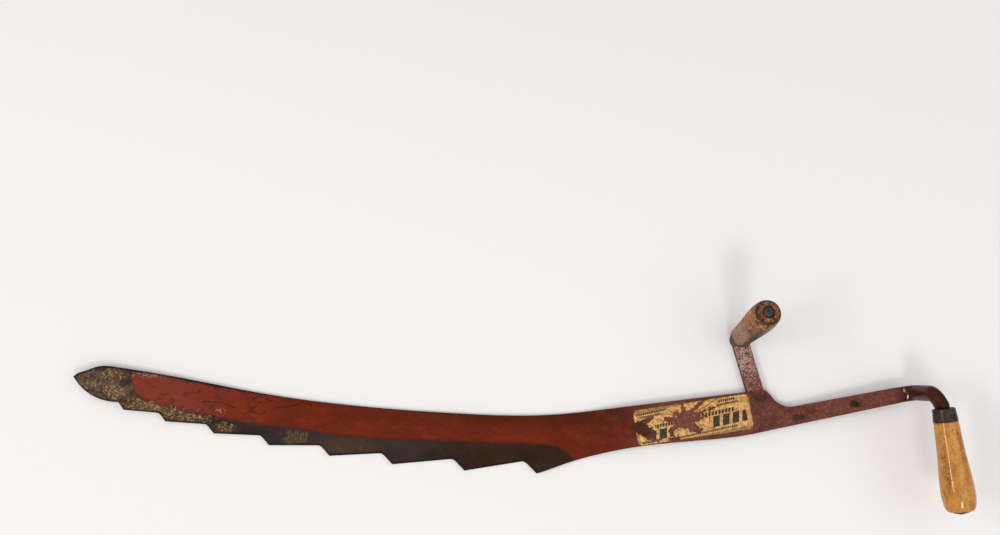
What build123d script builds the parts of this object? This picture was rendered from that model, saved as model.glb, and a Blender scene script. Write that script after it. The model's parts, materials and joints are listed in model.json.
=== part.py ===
"""Two-handled hay knife: a toothed blade riveted to a forged shank with a side grip and an end grip.

The knife lies flat, as it rests: the blade's underside is at Z 0 and its broad side faces up.
+X runs from the blade's nose to the end grip, +Y towards the side grip, and the origin is
on the underside, in line with the fore blade rivet. Sizes are millimetres.
"""

from build123d import *
from math import cos, radians, sin, tan
import os

os.makedirs("parts", exist_ok=True)

# Blade plate
BLADE_THICK = 3.0
NOSE_X = -623.5
NOSE_Y = 57.0
BOW_START_X = -330.0
BOW_LIFT = 8.0
TANG_END_X = 85.0
BEVEL_WIDE = 3.2
BEVEL_DEEP = 1.8
NOSE_BEVEL_FACETS = 6

# Back edge of the blade and of the shank's flat, nose to arm
BACK_POINTS = [
    (-611.5, 63.6),
    (-597.5, 68.5),
    (-577.0, 67.7),
    (-540.0, 61.9),
    (-489.3, 52.6),
    (-422.7, 39.8),
    (-322.3, 26.4),
    (-200.0, 17.3),
    (-100.2, 16.4),
    (-29.0, 24.2),
]
BACK_RISE = 0.121
NOSE_LEAN = 0.7

# Teeth: eight points on a shallow bow, their pitches longer towards the heel and cut by eye
FIRST_TOOTH = (-568.1, 21.6)
LAST_TOOTH_Y = -46.6
TOOTH_PITCHES = [45.2, 52.6, 60.0, 65.6, 68.1, 78.2, 78.0]
TOOTH_BOW = 15.4
GULLET_RUN = 5.8
GULLET_RUN_GAIN = 1.05
GULLET_DEEP = 8.4
GULLET_DEEP_GAIN = 0.68
GULLET_ROUND = 8.0
NOSE_UNDER = (-604.5, 38.0)

# Lower edge behind the teeth
HEEL_POINTS = [(-89.4, -36.2), (-58.4, -27.3), (-13.6, -18.2)]
HEEL_END = (113.0, -4.4)
HEEL_START_RISE = 0.27
HEEL_END_RISE = 0.19

# Shank: a flat over the tang, then a bar that climbs and narrows to the crank
SHANK_THICK = 8.0
FEATHER_X = -62.0
FEATHER_FULL_X = -19.0
FEATHER_EDGE = 0.4
TANG_GAP = 0.4
CLIMB_START_X = 139.0
CLIMB_LIFT = 9.6
BAR_END = (268.0, 37.0)
BAR_YAW = 11.3
BAR_LONG = 123.0
BAR_START_WIDE = 19.8
BAR_END_WIDE = 16.4
GUSSET_CORNER = (133.0, 38.2)
GUSSET_TOP_X = 128.0
GUSSET_ROUND = 24.0
# Share of the gusset's sloping edge that its round may take up
GUSSET_ROUND_ROOM = 0.9

# Crank: the bar turns up, then over towards the end grip, as a round rod
ROD_WIDE = 16.6
ROD_THICK = 13.8
NECK_DIA = 12.8
NECK_LONG = 3.0
ROUNDING_LONG = 6.0
CRANK_FOOT = (286.4, 40.2, 15.2)
CRANK_HEAD = (287.6, 38.6, 66.4)
FOOT_BEND = 12.0
HEAD_BEND = 10.0

# End grip: its axis starts at the mouth of the ferrule
MOUTH = (295.8, 23.5, 66.8)
WOOD_RECESS = 0.6
END_YAW = 7.6
END_DIP = 2.0
FERRULE_LONG = 13.2
FERRULE_MOUTH_DIA = 22.6
FERRULE_FOOT_DIA = 24.8
FERRULE_WALL = 1.3
END_GRIP_LONG = 91.0
WAIST_SHARE = 0.3
SWELL_SHARE = 0.8
SHOULDER_SHARE = 0.93
END_GRIP_FOOT_DIA = 24.4
END_GRIP_WAIST_DIA = 27.0
END_GRIP_SWELL_DIA = 33.4
END_GRIP_SHOULDER_DIA = 31.2
END_GRIP_FACE_DIA = 25.0
TANG_DIA = 9.0
END_BURR_DIA = 15.0
END_BURR_THICK = 1.8
PEEN_HIGH = 1.4

# Side arm and its leaning spindle
ARM_WIDE = 18.0
ARM_THICK = 7.0
ARM_LAP_THICK = 3.6
ARM_YAW = 15.2
ARM_TAIL_LONG = 27.0
SPINDLE_FOOT = (101.8, 97.8)
SPINDLE_LEAN = 11.4
SPINDLE_LEAN_YAW = 73.5
SEAT_DIA = 18.4
SEAT_HIGH = 10.0
WASHER_DIA = 21.8
WASHER_THICK = 1.8
SPINDLE_DIA = 9.6
SIDE_GRIP_LONG = 101.0
SIDE_GRIP_FOOT_DIA = 22.8
SIDE_GRIP_WAIST_DIA = 25.6
SIDE_GRIP_SWELL_DIA = 30.0
SIDE_GRIP_SHOULDER_DIA = 28.4
SIDE_GRIP_FACE_DIA = 22.0
SIDE_BURR_DIA = 12.4
SIDE_BURR_THICK = 2.2
BURR_SINK = 2.6
SIDE_PEEN_HIGH = 1.2

# Rivets
RIVET_DIA = 7.0
RIVET_HEAD_DIA = 11.0
RIVET_HEAD_HIGH = 1.6
BLADE_RIVETS = [(0.0, 0.0), (50.0, 12.0)]
ARM_RIVET_DIA = 6.4
ARM_RIVET_HEAD_DIA = 9.6
ARM_BUTTON_HIGH = 0.9
ARM_RIVET_PLACE = (122.8, 35.8)

# Label
LABEL_LONG = 127.5
LABEL_WIDE = 38.4
LABEL_ROUND = 5.5
LABEL_THICK = 0.3
LABEL_YAW = 8.4
LABEL_CENTRE = (49.2, 11.0)

# Clearances
RUN_CLEAR = 0.08
END_CLEAR = 0.3
FIXED_CLEAR = 0.05


# Frames of the leaning spindle and of the end grip, each with +Z along its axis
lean = radians(SPINDLE_LEAN)
lean_yaw = radians(SPINDLE_LEAN_YAW)
spindle_axis = Vector(sin(lean) * cos(lean_yaw), sin(lean) * sin(lean_yaw), cos(lean))
spindle_plane = Plane(origin=(*SPINDLE_FOOT, 0), x_dir=(1, 0, 0), z_dir=spindle_axis)
end_yaw = radians(END_YAW)
end_dip = radians(END_DIP)
end_axis = Vector(sin(end_yaw) * cos(end_dip), -cos(end_yaw) * cos(end_dip), -sin(end_dip))
end_plane = Plane(origin=MOUTH, x_dir=(1, 0, 0), z_dir=end_axis)

# Direction of the bar in plan and in the round, and the middle of its end
bar_yaw = radians(BAR_YAW)
climb = CLIMB_LIFT / (BAR_END[0] - CLIMB_START_X)
bar_axis = Vector(cos(bar_yaw), sin(bar_yaw), climb * cos(bar_yaw)).normalized()
bar_end = Vector(*BAR_END, SHANK_THICK / 2 + CLIMB_LIFT)

# The arm runs from the seat back under the shank
arm_axis = (sin(radians(ARM_YAW)), -cos(radians(ARM_YAW)))
seat_rise = ARM_THICK / spindle_axis.Z
SEAT_X = SPINDLE_FOOT[0] + spindle_axis.X * seat_rise
SEAT_Y = SPINDLE_FOOT[1] + spindle_axis.Y * seat_rise
BIG = 2000.0

# Heights along the spindle: the grip turns between the washer and the burr
SIDE_GRIP_LOW = SEAT_HIGH + WASHER_THICK + END_CLEAR
SIDE_BURR_HIGH = SIDE_GRIP_LOW + SIDE_GRIP_LONG - BURR_SINK + END_CLEAR


def save(shape, node):
    """Name a piece and write it as parts/NODE.step."""
    shape.label = node
    export_step(shape, f"parts/{node}.step")


def arm_point(along, across):
    """A point of the plan, so far from the seat towards the shank and so far to the arm's right."""
    return (
        SEAT_X + arm_axis[0] * along - arm_axis[1] * across,
        SEAT_Y + arm_axis[1] * along + arm_axis[0] * across,
    )


def bar_point(back, across):
    """A point of the plan, so far back from the bar's end and so far to its upper side."""
    return (
        BAR_END[0] - cos(bar_yaw) * back - sin(bar_yaw) * across,
        BAR_END[1] - sin(bar_yaw) * back + cos(bar_yaw) * across,
    )


def back_at(x):
    """Y of the shank's straight back edge at a place along it."""
    return BACK_POINTS[-1][1] + BACK_RISE * (x - BACK_POINTS[-1][0])


def arm_root_along():
    """Distance from the seat at which the arm's left edge meets the shank's back edge."""
    x, y = arm_point(0, -ARM_WIDE / 2)
    return (y - back_at(x)) / (BACK_RISE * arm_axis[0] - arm_axis[1])


def tooth_points():
    """The teeth's points, nose to heel: the pitches laid along a bowed line."""
    reach = sum(TOOTH_PITCHES)
    points = []
    for index in range(len(TOOTH_PITCHES) + 1):
        distance = sum(TOOTH_PITCHES[:index])
        share = distance / reach
        chord = FIRST_TOOTH[1] + share * (LAST_TOOTH_Y - FIRST_TOOTH[1])
        points.append((FIRST_TOOTH[0] + distance, chord - 4 * TOOTH_BOW * share * (1 - share)))
    return points


def gullet_points():
    """The inner corner in front of each tooth: deeper and longer towards the heel."""
    points = []
    for index, (x, y) in enumerate(tooth_points()):
        run = GULLET_RUN + GULLET_RUN_GAIN * index
        deep = GULLET_DEEP + GULLET_DEEP_GAIN * index
        points.append((x - run, y + deep))
    return points


def corner_at(face, place):
    """The corner of a face nearest to a point of the plan."""
    return min(face.vertices(), key=lambda vertex: (Vector(vertex) - Vector(*place)).length)


def strip_outline():
    """Plan of the blade and of the shank's flat: nose, teeth, heel and back edge."""
    teeth = tooth_points()
    gullets = gullet_points()
    nose = (NOSE_X, NOSE_Y)
    arm_root = arm_point(arm_root_along(), -ARM_WIDE / 2)
    edges = [ThreePointArc(nose, NOSE_UNDER, gullets[0])]
    for index, tooth in enumerate(teeth):
        edges.append(Line(gullets[index], tooth))
        if index + 1 < len(teeth):
            edges.append(Line(tooth, gullets[index + 1]))
    heel = [teeth[-1], *HEEL_POINTS, HEEL_END]
    edges.append(Spline(*heel, tangents=[(1, HEEL_START_RISE), (1, HEEL_END_RISE)]))
    edges.append(Line(HEEL_END, arm_root))
    edges.append(Line(arm_root, BACK_POINTS[-1]))
    back = [*reversed(BACK_POINTS), nose]
    edges.append(Spline(*back, tangents=[(-1, -BACK_RISE), (-NOSE_LEAN, -1)]))
    face = make_face(edges)
    return fillet([corner_at(face, place) for place in gullets[1:]], GULLET_ROUND)


def top_at(x):
    """Height of the blade's upper face at a place along it."""
    reach = BOW_START_X - NOSE_X
    radius = (reach**2 + BOW_LIFT**2) / (2 * BOW_LIFT)
    past = max(0.0, BOW_START_X - x)
    return BLADE_THICK + radius - (radius**2 - past**2) ** 0.5


def bevel_cut(start, end):
    """The sliver ground off the upper face along one straight edge, with the blade on its left."""
    run = (Vector(*end) - Vector(*start)).normalized()
    out = Vector(run.Y, -run.X)
    steep = BEVEL_DEEP / BEVEL_WIDE
    ends = []
    for x, y in (start, end):
        place = Vector(x, y, top_at(x))
        inner = place - out * 2 * BEVEL_WIDE + Vector(0, 0, BEVEL_DEEP)
        outer = place + out * BEVEL_WIDE - Vector(0, 0, BEVEL_DEEP + steep * BEVEL_WIDE)
        above = Vector(outer.X, outer.Y, inner.Z)
        ends.append(make_face(Polyline(inner, outer, above, close=True)))
    return loft(ends, ruled=True)


def side_profile(points):
    """A closed outline in X and Z, made as wide in Y as the knife."""
    outline = Polyline(*[(x, 0, z) for x, z in points], close=True)
    return extrude(make_face(outline), BIG / 2, both=True, dir=(0, 1, 0))


def turned(edges, plane):
    """A solid of revolution from an outline in X and Z, set on an axis."""
    return plane * revolve(make_face(edges), Axis.Z)


def cone_at(x, y, low, high, low_dia, high_dia):
    """An upright cone or cylinder between two heights."""
    middle = (low + high) / 2
    if low_dia == high_dia:
        return Pos(x, y, middle) * Cylinder(low_dia / 2, high - low)
    return Pos(x, y, middle) * Cone(low_dia / 2, high_dia / 2, high - low)


def make_blade():
    """The toothed plate with its tang, bowed up a little at the nose and bevelled along its edge."""
    plan = strip_outline() & (Pos(TANG_END_X - BIG / 2, 0) * Rectangle(BIG, BIG))
    start = Vector(BOW_START_X, 0, 0)
    nose = Vector(NOSE_X, 0, BOW_LIFT)
    rise = Vector(0, 0, BLADE_THICK)
    under = TangentArc(start, nose, tangent=(-1, 0, 0))
    over = TangentArc(start + rise, nose + rise, tangent=(-1, 0, 0))
    tail_x = TANG_END_X + 1
    edges = [
        under,
        over,
        Line(under @ 1, over @ 1),
        Line(over @ 0, (tail_x, 0, BLADE_THICK)),
        Line((tail_x, 0, BLADE_THICK), (tail_x, 0, 0)),
        Line((tail_x, 0, 0), under @ 0),
    ]
    side = extrude(make_face(edges), BIG / 2, both=True, dir=(0, 1, 0))
    blade = extrude(plan, BLADE_THICK + BOW_LIFT + 1) & side
    teeth = tooth_points()
    gullets = gullet_points()
    under_nose = ThreePointArc((NOSE_X, NOSE_Y), NOSE_UNDER, gullets[0])
    facets = [under_nose @ (i / NOSE_BEVEL_FACETS) for i in range(NOSE_BEVEL_FACETS + 1)]
    cuts = [bevel_cut((a.X, a.Y), (b.X, b.Y)) for a, b in zip(facets, facets[1:])]
    for tooth, gullet in zip(teeth, gullets[1:]):
        cuts.append(bevel_cut(tooth, gullet))
    for cut in cuts:
        blade -= cut
    for x, y in BLADE_RIVETS:
        blade -= rivet_hole(x, y, RIVET_DIA, RIVET_HEAD_DIA, 0, BLADE_THICK, True)
    return blade


def rivet_hole(x, y, dia, head_dia, low, high, sunk_below):
    """The hole for a rivet between two heights, with a countersink at its outer end."""
    hole = cone_at(x, y, low - 1, high + 1, dia + 2 * FIXED_CLEAR, dia + 2 * FIXED_CLEAR)
    wide = head_dia + 2 * FIXED_CLEAR
    if sunk_below:
        return hole + cone_at(x, y, low, low + RIVET_HEAD_HIGH, wide, dia)
    return hole + cone_at(x, y, high - RIVET_HEAD_HIGH, high, dia, wide)


def gusset_round():
    """The round in the gusset's inner corner, held within its sloping edge."""
    start = Vector(*bar_point(BAR_LONG, BAR_START_WIDE / 2))
    slope = Vector(*GUSSET_CORNER) - start
    bar_edge = Vector(*bar_point(0, BAR_END_WIDE / 2)) - start
    half_angle = radians(slope.get_angle(bar_edge) / 2)
    return min(GUSSET_ROUND, GUSSET_ROUND_ROOM * slope.length * tan(half_angle))


def make_shank():
    """The forged shank: flat over the tang, climbing bar, crank, and tang through the end grip."""
    flat = strip_outline() & (Pos(FEATHER_X + BIG / 2, 0) * Rectangle(BIG, BIG))
    arm_root = arm_point(arm_root_along(), -ARM_WIDE / 2)
    bar_outline = Polyline(
        HEEL_END,
        bar_point(0, -BAR_END_WIDE / 2),
        bar_point(0, BAR_END_WIDE / 2),
        bar_point(BAR_LONG, BAR_START_WIDE / 2),
        GUSSET_CORNER,
        (GUSSET_TOP_X, back_at(GUSSET_TOP_X)),
        arm_root,
        close=True,
    )
    bar = make_face(bar_outline)
    bar = fillet(corner_at(bar, bar_point(BAR_LONG, BAR_START_WIDE / 2)), gusset_round())
    end_x = BAR_END[0] + BAR_END_WIDE
    end_lift = climb * (end_x - CLIMB_START_X)
    side = side_profile(
        [
            (FEATHER_X, BLADE_THICK),
            (FEATHER_X, BLADE_THICK + FEATHER_EDGE),
            (FEATHER_FULL_X, SHANK_THICK),
            (CLIMB_START_X, SHANK_THICK),
            (end_x, SHANK_THICK + end_lift),
            (end_x, end_lift),
            (CLIMB_START_X, 0),
            (TANG_END_X + TANG_GAP, 0),
            (TANG_END_X + TANG_GAP, BLADE_THICK),
        ]
    )
    shank = extrude(flat + bar, BIG / 10) & side
    shank -= arm_tail(FIXED_CLEAR)
    shank += crank()
    for x, y in BLADE_RIVETS:
        shank -= rivet_hole(x, y, RIVET_DIA, RIVET_HEAD_DIA, BLADE_THICK, SHANK_THICK, False)
    x, y = ARM_RIVET_PLACE
    bore = ARM_RIVET_DIA + 2 * FIXED_CLEAR
    return shank - cone_at(x, y, 0, SHANK_THICK + 1, bore, bore)


def crank():
    """The rod from the bar's end up and over into the end grip, with its tang and peened tip."""
    foot = Vector(*CRANK_FOOT)
    head = Vector(*CRANK_HEAD)
    mouth = Vector(*MOUTH)
    rod_axis = (foot - bar_end).normalized()
    neck_axis = (mouth - head).normalized()
    round_start = bar_end + rod_axis * ROUNDING_LONG
    neck_start = mouth - neck_axis * NECK_LONG
    across = (-sin(bar_yaw), cos(bar_yaw), 0)
    flat_plane = Plane(origin=bar_end, x_dir=across, z_dir=bar_axis)
    round_plane = Plane(origin=round_start, x_dir=across, z_dir=rod_axis)
    section = round_plane * Ellipse(ROD_WIDE / 2, ROD_THICK / 2)
    rounding = loft([flat_plane * Rectangle(BAR_END_WIDE, SHANK_THICK), section])
    path = FilletPolyline(round_start, foot, head, neck_start, radius=[FOOT_BEND, HEAD_BEND])
    rod = sweep(section, path=path)
    neck_face = rod.faces().filter_by(GeomType.PLANE).sort_by(Axis(MOUTH, tuple(end_axis)))[-1]
    neck_end = end_plane * (Pos(0, 0, WOOD_RECESS) * Circle(NECK_DIA / 2))
    neck = loft([neck_face, neck_end])
    tang_end = FERRULE_LONG + END_GRIP_LONG + END_BURR_THICK
    tang = cone_at(0, 0, WOOD_RECESS, tang_end, TANG_DIA, TANG_DIA)
    spread = 2 * PEEN_HIGH
    peen = cone_at(0, 0, tang_end, tang_end + PEEN_HIGH, TANG_DIA + spread, TANG_DIA - spread)
    return rounding + rod + neck + end_plane * (tang + peen)


def arm_plan(width, start, end):
    """The arm's flat in plan between two distances from the seat."""
    half = width / 2
    places = [(start, -half), (start, half), (end, half), (end, -half)]
    return make_face(Polyline(*[arm_point(*place) for place in places], close=True))


def arm_tail(gap):
    """The thinned end of the arm that lies in the shank's rebate, grown all round by a gap."""
    root = arm_root_along()
    plan = arm_plan(ARM_WIDE + 2 * gap, root - ARM_WIDE, root + ARM_TAIL_LONG + gap)
    return extrude(plan, ARM_LAP_THICK + gap)


def make_side_arm():
    """The flat arm with its lapped tail, round seat, leaning spindle and peened tip."""
    root = arm_root_along()
    under_shank = Polyline(
        (-BIG, back_at(-BIG)),
        (BIG, back_at(BIG)),
        (BIG, -BIG),
        (-BIG, -BIG),
        close=True,
    )
    arm = extrude(arm_plan(ARM_WIDE, 0, root + ARM_WIDE) - make_face(under_shank), ARM_THICK)
    arm += extrude(arm_plan(ARM_WIDE, ARM_WIDE, root + ARM_TAIL_LONG), ARM_LAP_THICK)
    seat = spindle_plane * cone_at(0, 0, -SEAT_DIA, SEAT_HIGH, SEAT_DIA, SEAT_DIA)
    arm += seat & (Pos(0, 0, BIG / 2) * Box(BIG, BIG, BIG))
    tip = SIDE_BURR_HIGH + SIDE_BURR_THICK
    spindle = cone_at(0, 0, SEAT_HIGH - 1, tip, SPINDLE_DIA, SPINDLE_DIA)
    peen = cone_at(0, 0, tip, tip + SIDE_PEEN_HIGH, SPINDLE_DIA, SPINDLE_DIA - 2 * SIDE_PEEN_HIGH)
    arm += spindle_plane * (spindle + peen)
    x, y = ARM_RIVET_PLACE
    return arm - rivet_hole(x, y, ARM_RIVET_DIA, ARM_RIVET_HEAD_DIA, 0, ARM_LAP_THICK, True)


def make_blade_rivets():
    """Rivets with a flush head at each end."""
    rivets = []
    for x, y in BLADE_RIVETS:
        shank = cone_at(x, y, 0, SHANK_THICK, RIVET_DIA, RIVET_DIA)
        under = cone_at(x, y, 0, RIVET_HEAD_HIGH, RIVET_HEAD_DIA, RIVET_DIA)
        over = cone_at(x, y, SHANK_THICK - RIVET_HEAD_HIGH, SHANK_THICK, RIVET_DIA, RIVET_HEAD_DIA)
        rivets.append(shank + under + over)
    return rivets


def make_arm_rivet():
    """The arm's rivet: flush below, with a low button head on the shank's broad side."""
    x, y = ARM_RIVET_PLACE
    top = SHANK_THICK + ARM_BUTTON_HIGH
    shank = cone_at(x, y, 0, top, ARM_RIVET_DIA, ARM_RIVET_DIA)
    under = cone_at(x, y, 0, RIVET_HEAD_HIGH, ARM_RIVET_HEAD_DIA, ARM_RIVET_DIA)
    button_top = ARM_RIVET_HEAD_DIA - 2 * ARM_BUTTON_HIGH
    button = cone_at(x, y, SHANK_THICK, top, ARM_RIVET_HEAD_DIA, button_top)
    return shank + under + button


def grip_edges(low, long, foot_dia, waist_dia, swell_dia, shoulder_dia, face_dia):
    """The turned outside of a grip: a taper up to the swell, then a round to its end face."""
    foot = (foot_dia / 2, 0, low)
    waist = (waist_dia / 2, 0, low + WAIST_SHARE * long)
    swell = (swell_dia / 2, 0, low + SWELL_SHARE * long)
    shoulder = (shoulder_dia / 2, 0, low + SHOULDER_SHARE * long)
    face = (face_dia / 2, 0, low + long)
    flare = (waist_dia - foot_dia) / 2 / (WAIST_SHARE * long)
    taper = Spline(foot, waist, swell, tangents=[(flare, 0, 1), (0, 0, 1)])
    return [taper, ThreePointArc(swell, shoulder, face)]


def make_side_grip():
    """The turned side grip, bored to run on the spindle, with a sinking for the burr."""
    low = SIDE_GRIP_LOW
    top = low + SIDE_GRIP_LONG
    bore = SPINDLE_DIA / 2 + RUN_CLEAR
    sinking = SIDE_BURR_DIA / 2 + END_CLEAR
    outside = grip_edges(
        low,
        SIDE_GRIP_LONG,
        SIDE_GRIP_FOOT_DIA,
        SIDE_GRIP_WAIST_DIA,
        SIDE_GRIP_SWELL_DIA,
        SIDE_GRIP_SHOULDER_DIA,
        SIDE_GRIP_FACE_DIA,
    )
    inside = Polyline(
        outside[1] @ 1,
        (sinking, 0, top),
        (sinking, 0, top - BURR_SINK),
        (bore, 0, top - BURR_SINK),
        (bore, 0, low),
        outside[0] @ 0,
    )
    return turned([*outside, *inside.edges()], spindle_plane)


def make_end_grip():
    """The turned end grip: a spigot inside the ferrule, then the swell of the hand."""
    foot = FERRULE_LONG
    top = foot + END_GRIP_LONG
    bore = TANG_DIA / 2 + FIXED_CLEAR
    wall = FERRULE_WALL + FIXED_CLEAR
    outside = grip_edges(
        foot,
        END_GRIP_LONG,
        END_GRIP_FOOT_DIA,
        END_GRIP_WAIST_DIA,
        END_GRIP_SWELL_DIA,
        END_GRIP_SHOULDER_DIA,
        END_GRIP_FACE_DIA,
    )
    mouth_share = WOOD_RECESS / FERRULE_LONG
    spigot_mouth = (FERRULE_MOUTH_DIA + (FERRULE_FOOT_DIA - FERRULE_MOUTH_DIA) * mouth_share) / 2 - wall
    inside = Polyline(
        outside[1] @ 1,
        (bore, 0, top),
        (bore, 0, WOOD_RECESS),
        (spigot_mouth, 0, WOOD_RECESS),
        (FERRULE_FOOT_DIA / 2 - wall, 0, foot),
        outside[0] @ 0,
    )
    return turned([*outside, *inside.edges()], end_plane)


def make_ring(plane, low, high, low_dia, high_dia, low_bore, high_bore):
    """A washer, burr or ferrule on an axis."""
    outline = Polyline(
        (low_bore / 2, 0, low),
        (low_dia / 2, 0, low),
        (high_dia / 2, 0, high),
        (high_bore / 2, 0, high),
        close=True,
    )
    return turned(outline.edges(), plane)


def make_label():
    """The thin label stuck on the shank's flat."""
    face = RectangleRounded(LABEL_LONG, LABEL_WIDE, LABEL_ROUND)
    return Pos(*LABEL_CENTRE, SHANK_THICK) * Rot(0, 0, LABEL_YAW) * extrude(face, LABEL_THICK)


def main():
    washer_bore = SPINDLE_DIA + 2 * FIXED_CLEAR
    tang_bore = TANG_DIA + 2 * FIXED_CLEAR
    ferrule_bores = [dia - 2 * FERRULE_WALL for dia in (FERRULE_MOUTH_DIA, FERRULE_FOOT_DIA)]
    end_low = FERRULE_LONG + END_GRIP_LONG
    pieces = {
        "blade": make_blade(),
        "shank": make_shank(),
        "side_arm": make_side_arm(),
        "blade_rivets": Compound(children=make_blade_rivets()),
        "arm_rivet": make_arm_rivet(),
        "label": make_label(),
        "side_washer": make_ring(
            spindle_plane,
            SEAT_HIGH,
            SEAT_HIGH + WASHER_THICK,
            WASHER_DIA,
            WASHER_DIA,
            washer_bore,
            washer_bore,
        ),
        "side_grip": make_side_grip(),
        "side_burr": make_ring(
            spindle_plane,
            SIDE_BURR_HIGH,
            SIDE_BURR_HIGH + SIDE_BURR_THICK,
            SIDE_BURR_DIA,
            SIDE_BURR_DIA,
            washer_bore,
            washer_bore,
        ),
        "end_ferrule": make_ring(
            end_plane,
            0,
            FERRULE_LONG,
            FERRULE_MOUTH_DIA,
            FERRULE_FOOT_DIA,
            *ferrule_bores,
        ),
        "end_grip": make_end_grip(),
        "end_burr": make_ring(
            end_plane,
            end_low,
            end_low + END_BURR_THICK,
            END_BURR_DIA,
            END_BURR_DIA,
            tang_bore,
            tang_bore,
        ),
    }
    for node, piece in pieces.items():
        print(node, piece.is_valid, round(piece.volume), len(piece.solids()))
        save(piece, node)
    print("whole", Compound(children=list(pieces.values())).bounding_box())


if __name__ == "__main__":
    main()
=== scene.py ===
"""Hay knife: detailed pieces, finishes and the photograph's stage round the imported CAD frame.

Everything stands in the part's own frame: the knife lies flat on Z 0, with +X towards the end
grip and +Y towards the side grip. Mesh units are metres, and patterns are written in millimetres.
"""

import json
from math import cos, hypot, pi, radians, sin

import bpy
from bpy.props import FloatProperty, FloatVectorProperty, IntProperty, PointerProperty
from mathutils import Matrix, Vector, noise

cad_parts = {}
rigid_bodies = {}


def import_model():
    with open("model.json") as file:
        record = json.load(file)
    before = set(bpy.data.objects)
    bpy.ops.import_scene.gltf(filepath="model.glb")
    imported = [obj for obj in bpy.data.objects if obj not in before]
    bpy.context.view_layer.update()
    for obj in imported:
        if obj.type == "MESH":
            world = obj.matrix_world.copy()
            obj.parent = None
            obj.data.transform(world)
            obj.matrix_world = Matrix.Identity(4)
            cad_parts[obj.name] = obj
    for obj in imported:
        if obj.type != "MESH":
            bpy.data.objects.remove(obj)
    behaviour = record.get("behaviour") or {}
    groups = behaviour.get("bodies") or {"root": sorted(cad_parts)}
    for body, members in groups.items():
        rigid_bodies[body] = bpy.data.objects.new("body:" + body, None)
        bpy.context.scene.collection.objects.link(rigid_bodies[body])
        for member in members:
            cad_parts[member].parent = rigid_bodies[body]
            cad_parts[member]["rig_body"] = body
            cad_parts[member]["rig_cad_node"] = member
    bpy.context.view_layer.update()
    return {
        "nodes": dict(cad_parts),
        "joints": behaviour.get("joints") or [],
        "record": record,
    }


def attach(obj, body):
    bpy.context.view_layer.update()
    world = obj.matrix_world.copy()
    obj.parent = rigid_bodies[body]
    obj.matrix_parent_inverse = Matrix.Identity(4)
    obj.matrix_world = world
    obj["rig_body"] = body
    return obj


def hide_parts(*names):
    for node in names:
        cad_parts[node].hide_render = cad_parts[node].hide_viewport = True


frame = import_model()

bl_info = {
    "name": "Hay knife",
    "version": (1, 0, 0),
    "blender": (4, 5, 0),
    "location": "View3D > Sidebar > Hay knife",
    "description": "Builds the detailed hay knife round its packed frame",
    "category": "Add Mesh",
}

MM = 0.001
MOUNTS = {m["name"]: m for m in frame["record"]["mounts"]}
SPIN = frame["joints"][0]
SPINDLE_AXIS = Vector(SPIN["axis"]).normalized()
SPINDLE_FOOT = Vector(SPIN["pos_m"]) - SPINDLE_AXIS * (SPIN["pos_m"][2] / SPINDLE_AXIS.z)
END_AXIS = Vector(MOUNTS["end_grip_hold"]["axis"]).normalized()
END_HOLD_FROM_MOUTH = 0.065
END_MOUTH = Vector(MOUNTS["end_grip_hold"]["pos_m"]) - END_AXIS * END_HOLD_FROM_MOUTH
LABEL_CENTRE = Vector((0.0492, 0.0110, 0.0080))
LABEL_TURN = radians(8.4)

# The blade's upper face: its thickness and where it starts to bow up to the nose, in millimetres
BLADE_THICK = 3.0
BOW_START = -330.0
BOW_RADIUS = 5387.0


def linear(code):
    """The linear colour of an sRGB hex value."""
    parts = [int(code[i : i + 2], 16) / 255 for i in (1, 3, 5)]
    return [p / 12.92 if p <= 0.04045 else ((p + 0.055) / 1.055) ** 2.4 for p in parts]


def length(name, description, mm):
    """A size that a user may change, given in millimetres."""
    return FloatProperty(
        name=name, description=description, default=mm * MM, min=0, unit="LENGTH", precision=5
    )


def colour(name, description, code):
    """A colour that a user may change."""
    return FloatVectorProperty(
        name=name, description=description, default=linear(code), size=3, min=0, max=1, subtype="COLOR"
    )


class HayKnifeSizes(bpy.types.PropertyGroup):
    """Sizes of the turned and cut pieces"""

    worn_edge: length("Worn edge", "Round that wear has left on forged edges", 0.45)
    side_low: length("Side grip foot", "Height of the side grip's foot along the spindle", 12.1)
    side_long: length("Side grip length", "Length of the side grip", 101)
    side_foot: length("Side grip foot diameter", "Diameter at the foot", 22.8)
    side_waist: length("Side grip waist diameter", "Diameter a third of the way up", 25.6)
    side_swell: length("Side grip swell diameter", "Greatest diameter", 30.0)
    side_shoulder: length("Side grip shoulder diameter", "Diameter where the end rounds over", 28.4)
    side_face: length("Side grip face diameter", "Diameter of the flat end", 22.0)
    side_bore: length("Side grip bore", "Bore that runs on the spindle", 9.76)
    side_sinking: length("Side grip sinking", "Diameter of the sinking for the burr", 13.0)
    side_sinking_deep: length("Side grip sinking depth", "Depth of the sinking for the burr", 2.6)
    end_low: length("End grip foot", "Distance of the end grip's foot from the ferrule's mouth", 13.2)
    end_long: length("End grip length", "Length of the end grip", 91)
    end_foot: length("End grip foot diameter", "Diameter beside the ferrule", 24.4)
    end_waist: length("End grip waist diameter", "Diameter a third of the way along", 27.0)
    end_swell: length("End grip swell diameter", "Greatest diameter", 33.4)
    end_shoulder: length("End grip shoulder diameter", "Diameter where the end rounds over", 31.2)
    end_face: length("End grip face diameter", "Diameter of the flat end", 25.0)
    ferrule_mouth: length("Ferrule mouth diameter", "Outer diameter at the mouth", 22.6)
    ferrule_foot: length("Ferrule foot diameter", "Outer diameter beside the wood", 24.8)
    ferrule_wall: length("Ferrule wall", "Thickness of the ferrule's sheet", 1.3)
    label_long: length("Label length", "Length of the paper label", 127.5)
    label_wide: length("Label width", "Width of the paper label", 38.4)
    label_round: length("Label corner", "Radius of the label's corners", 5.5)
    label_thick: length("Label thickness", "Thickness of the paper and its varnish", 0.3)
    turned_steps: IntProperty(
        name="Steps round", description="Facets round a turned piece", default=96, min=24
    )


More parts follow.
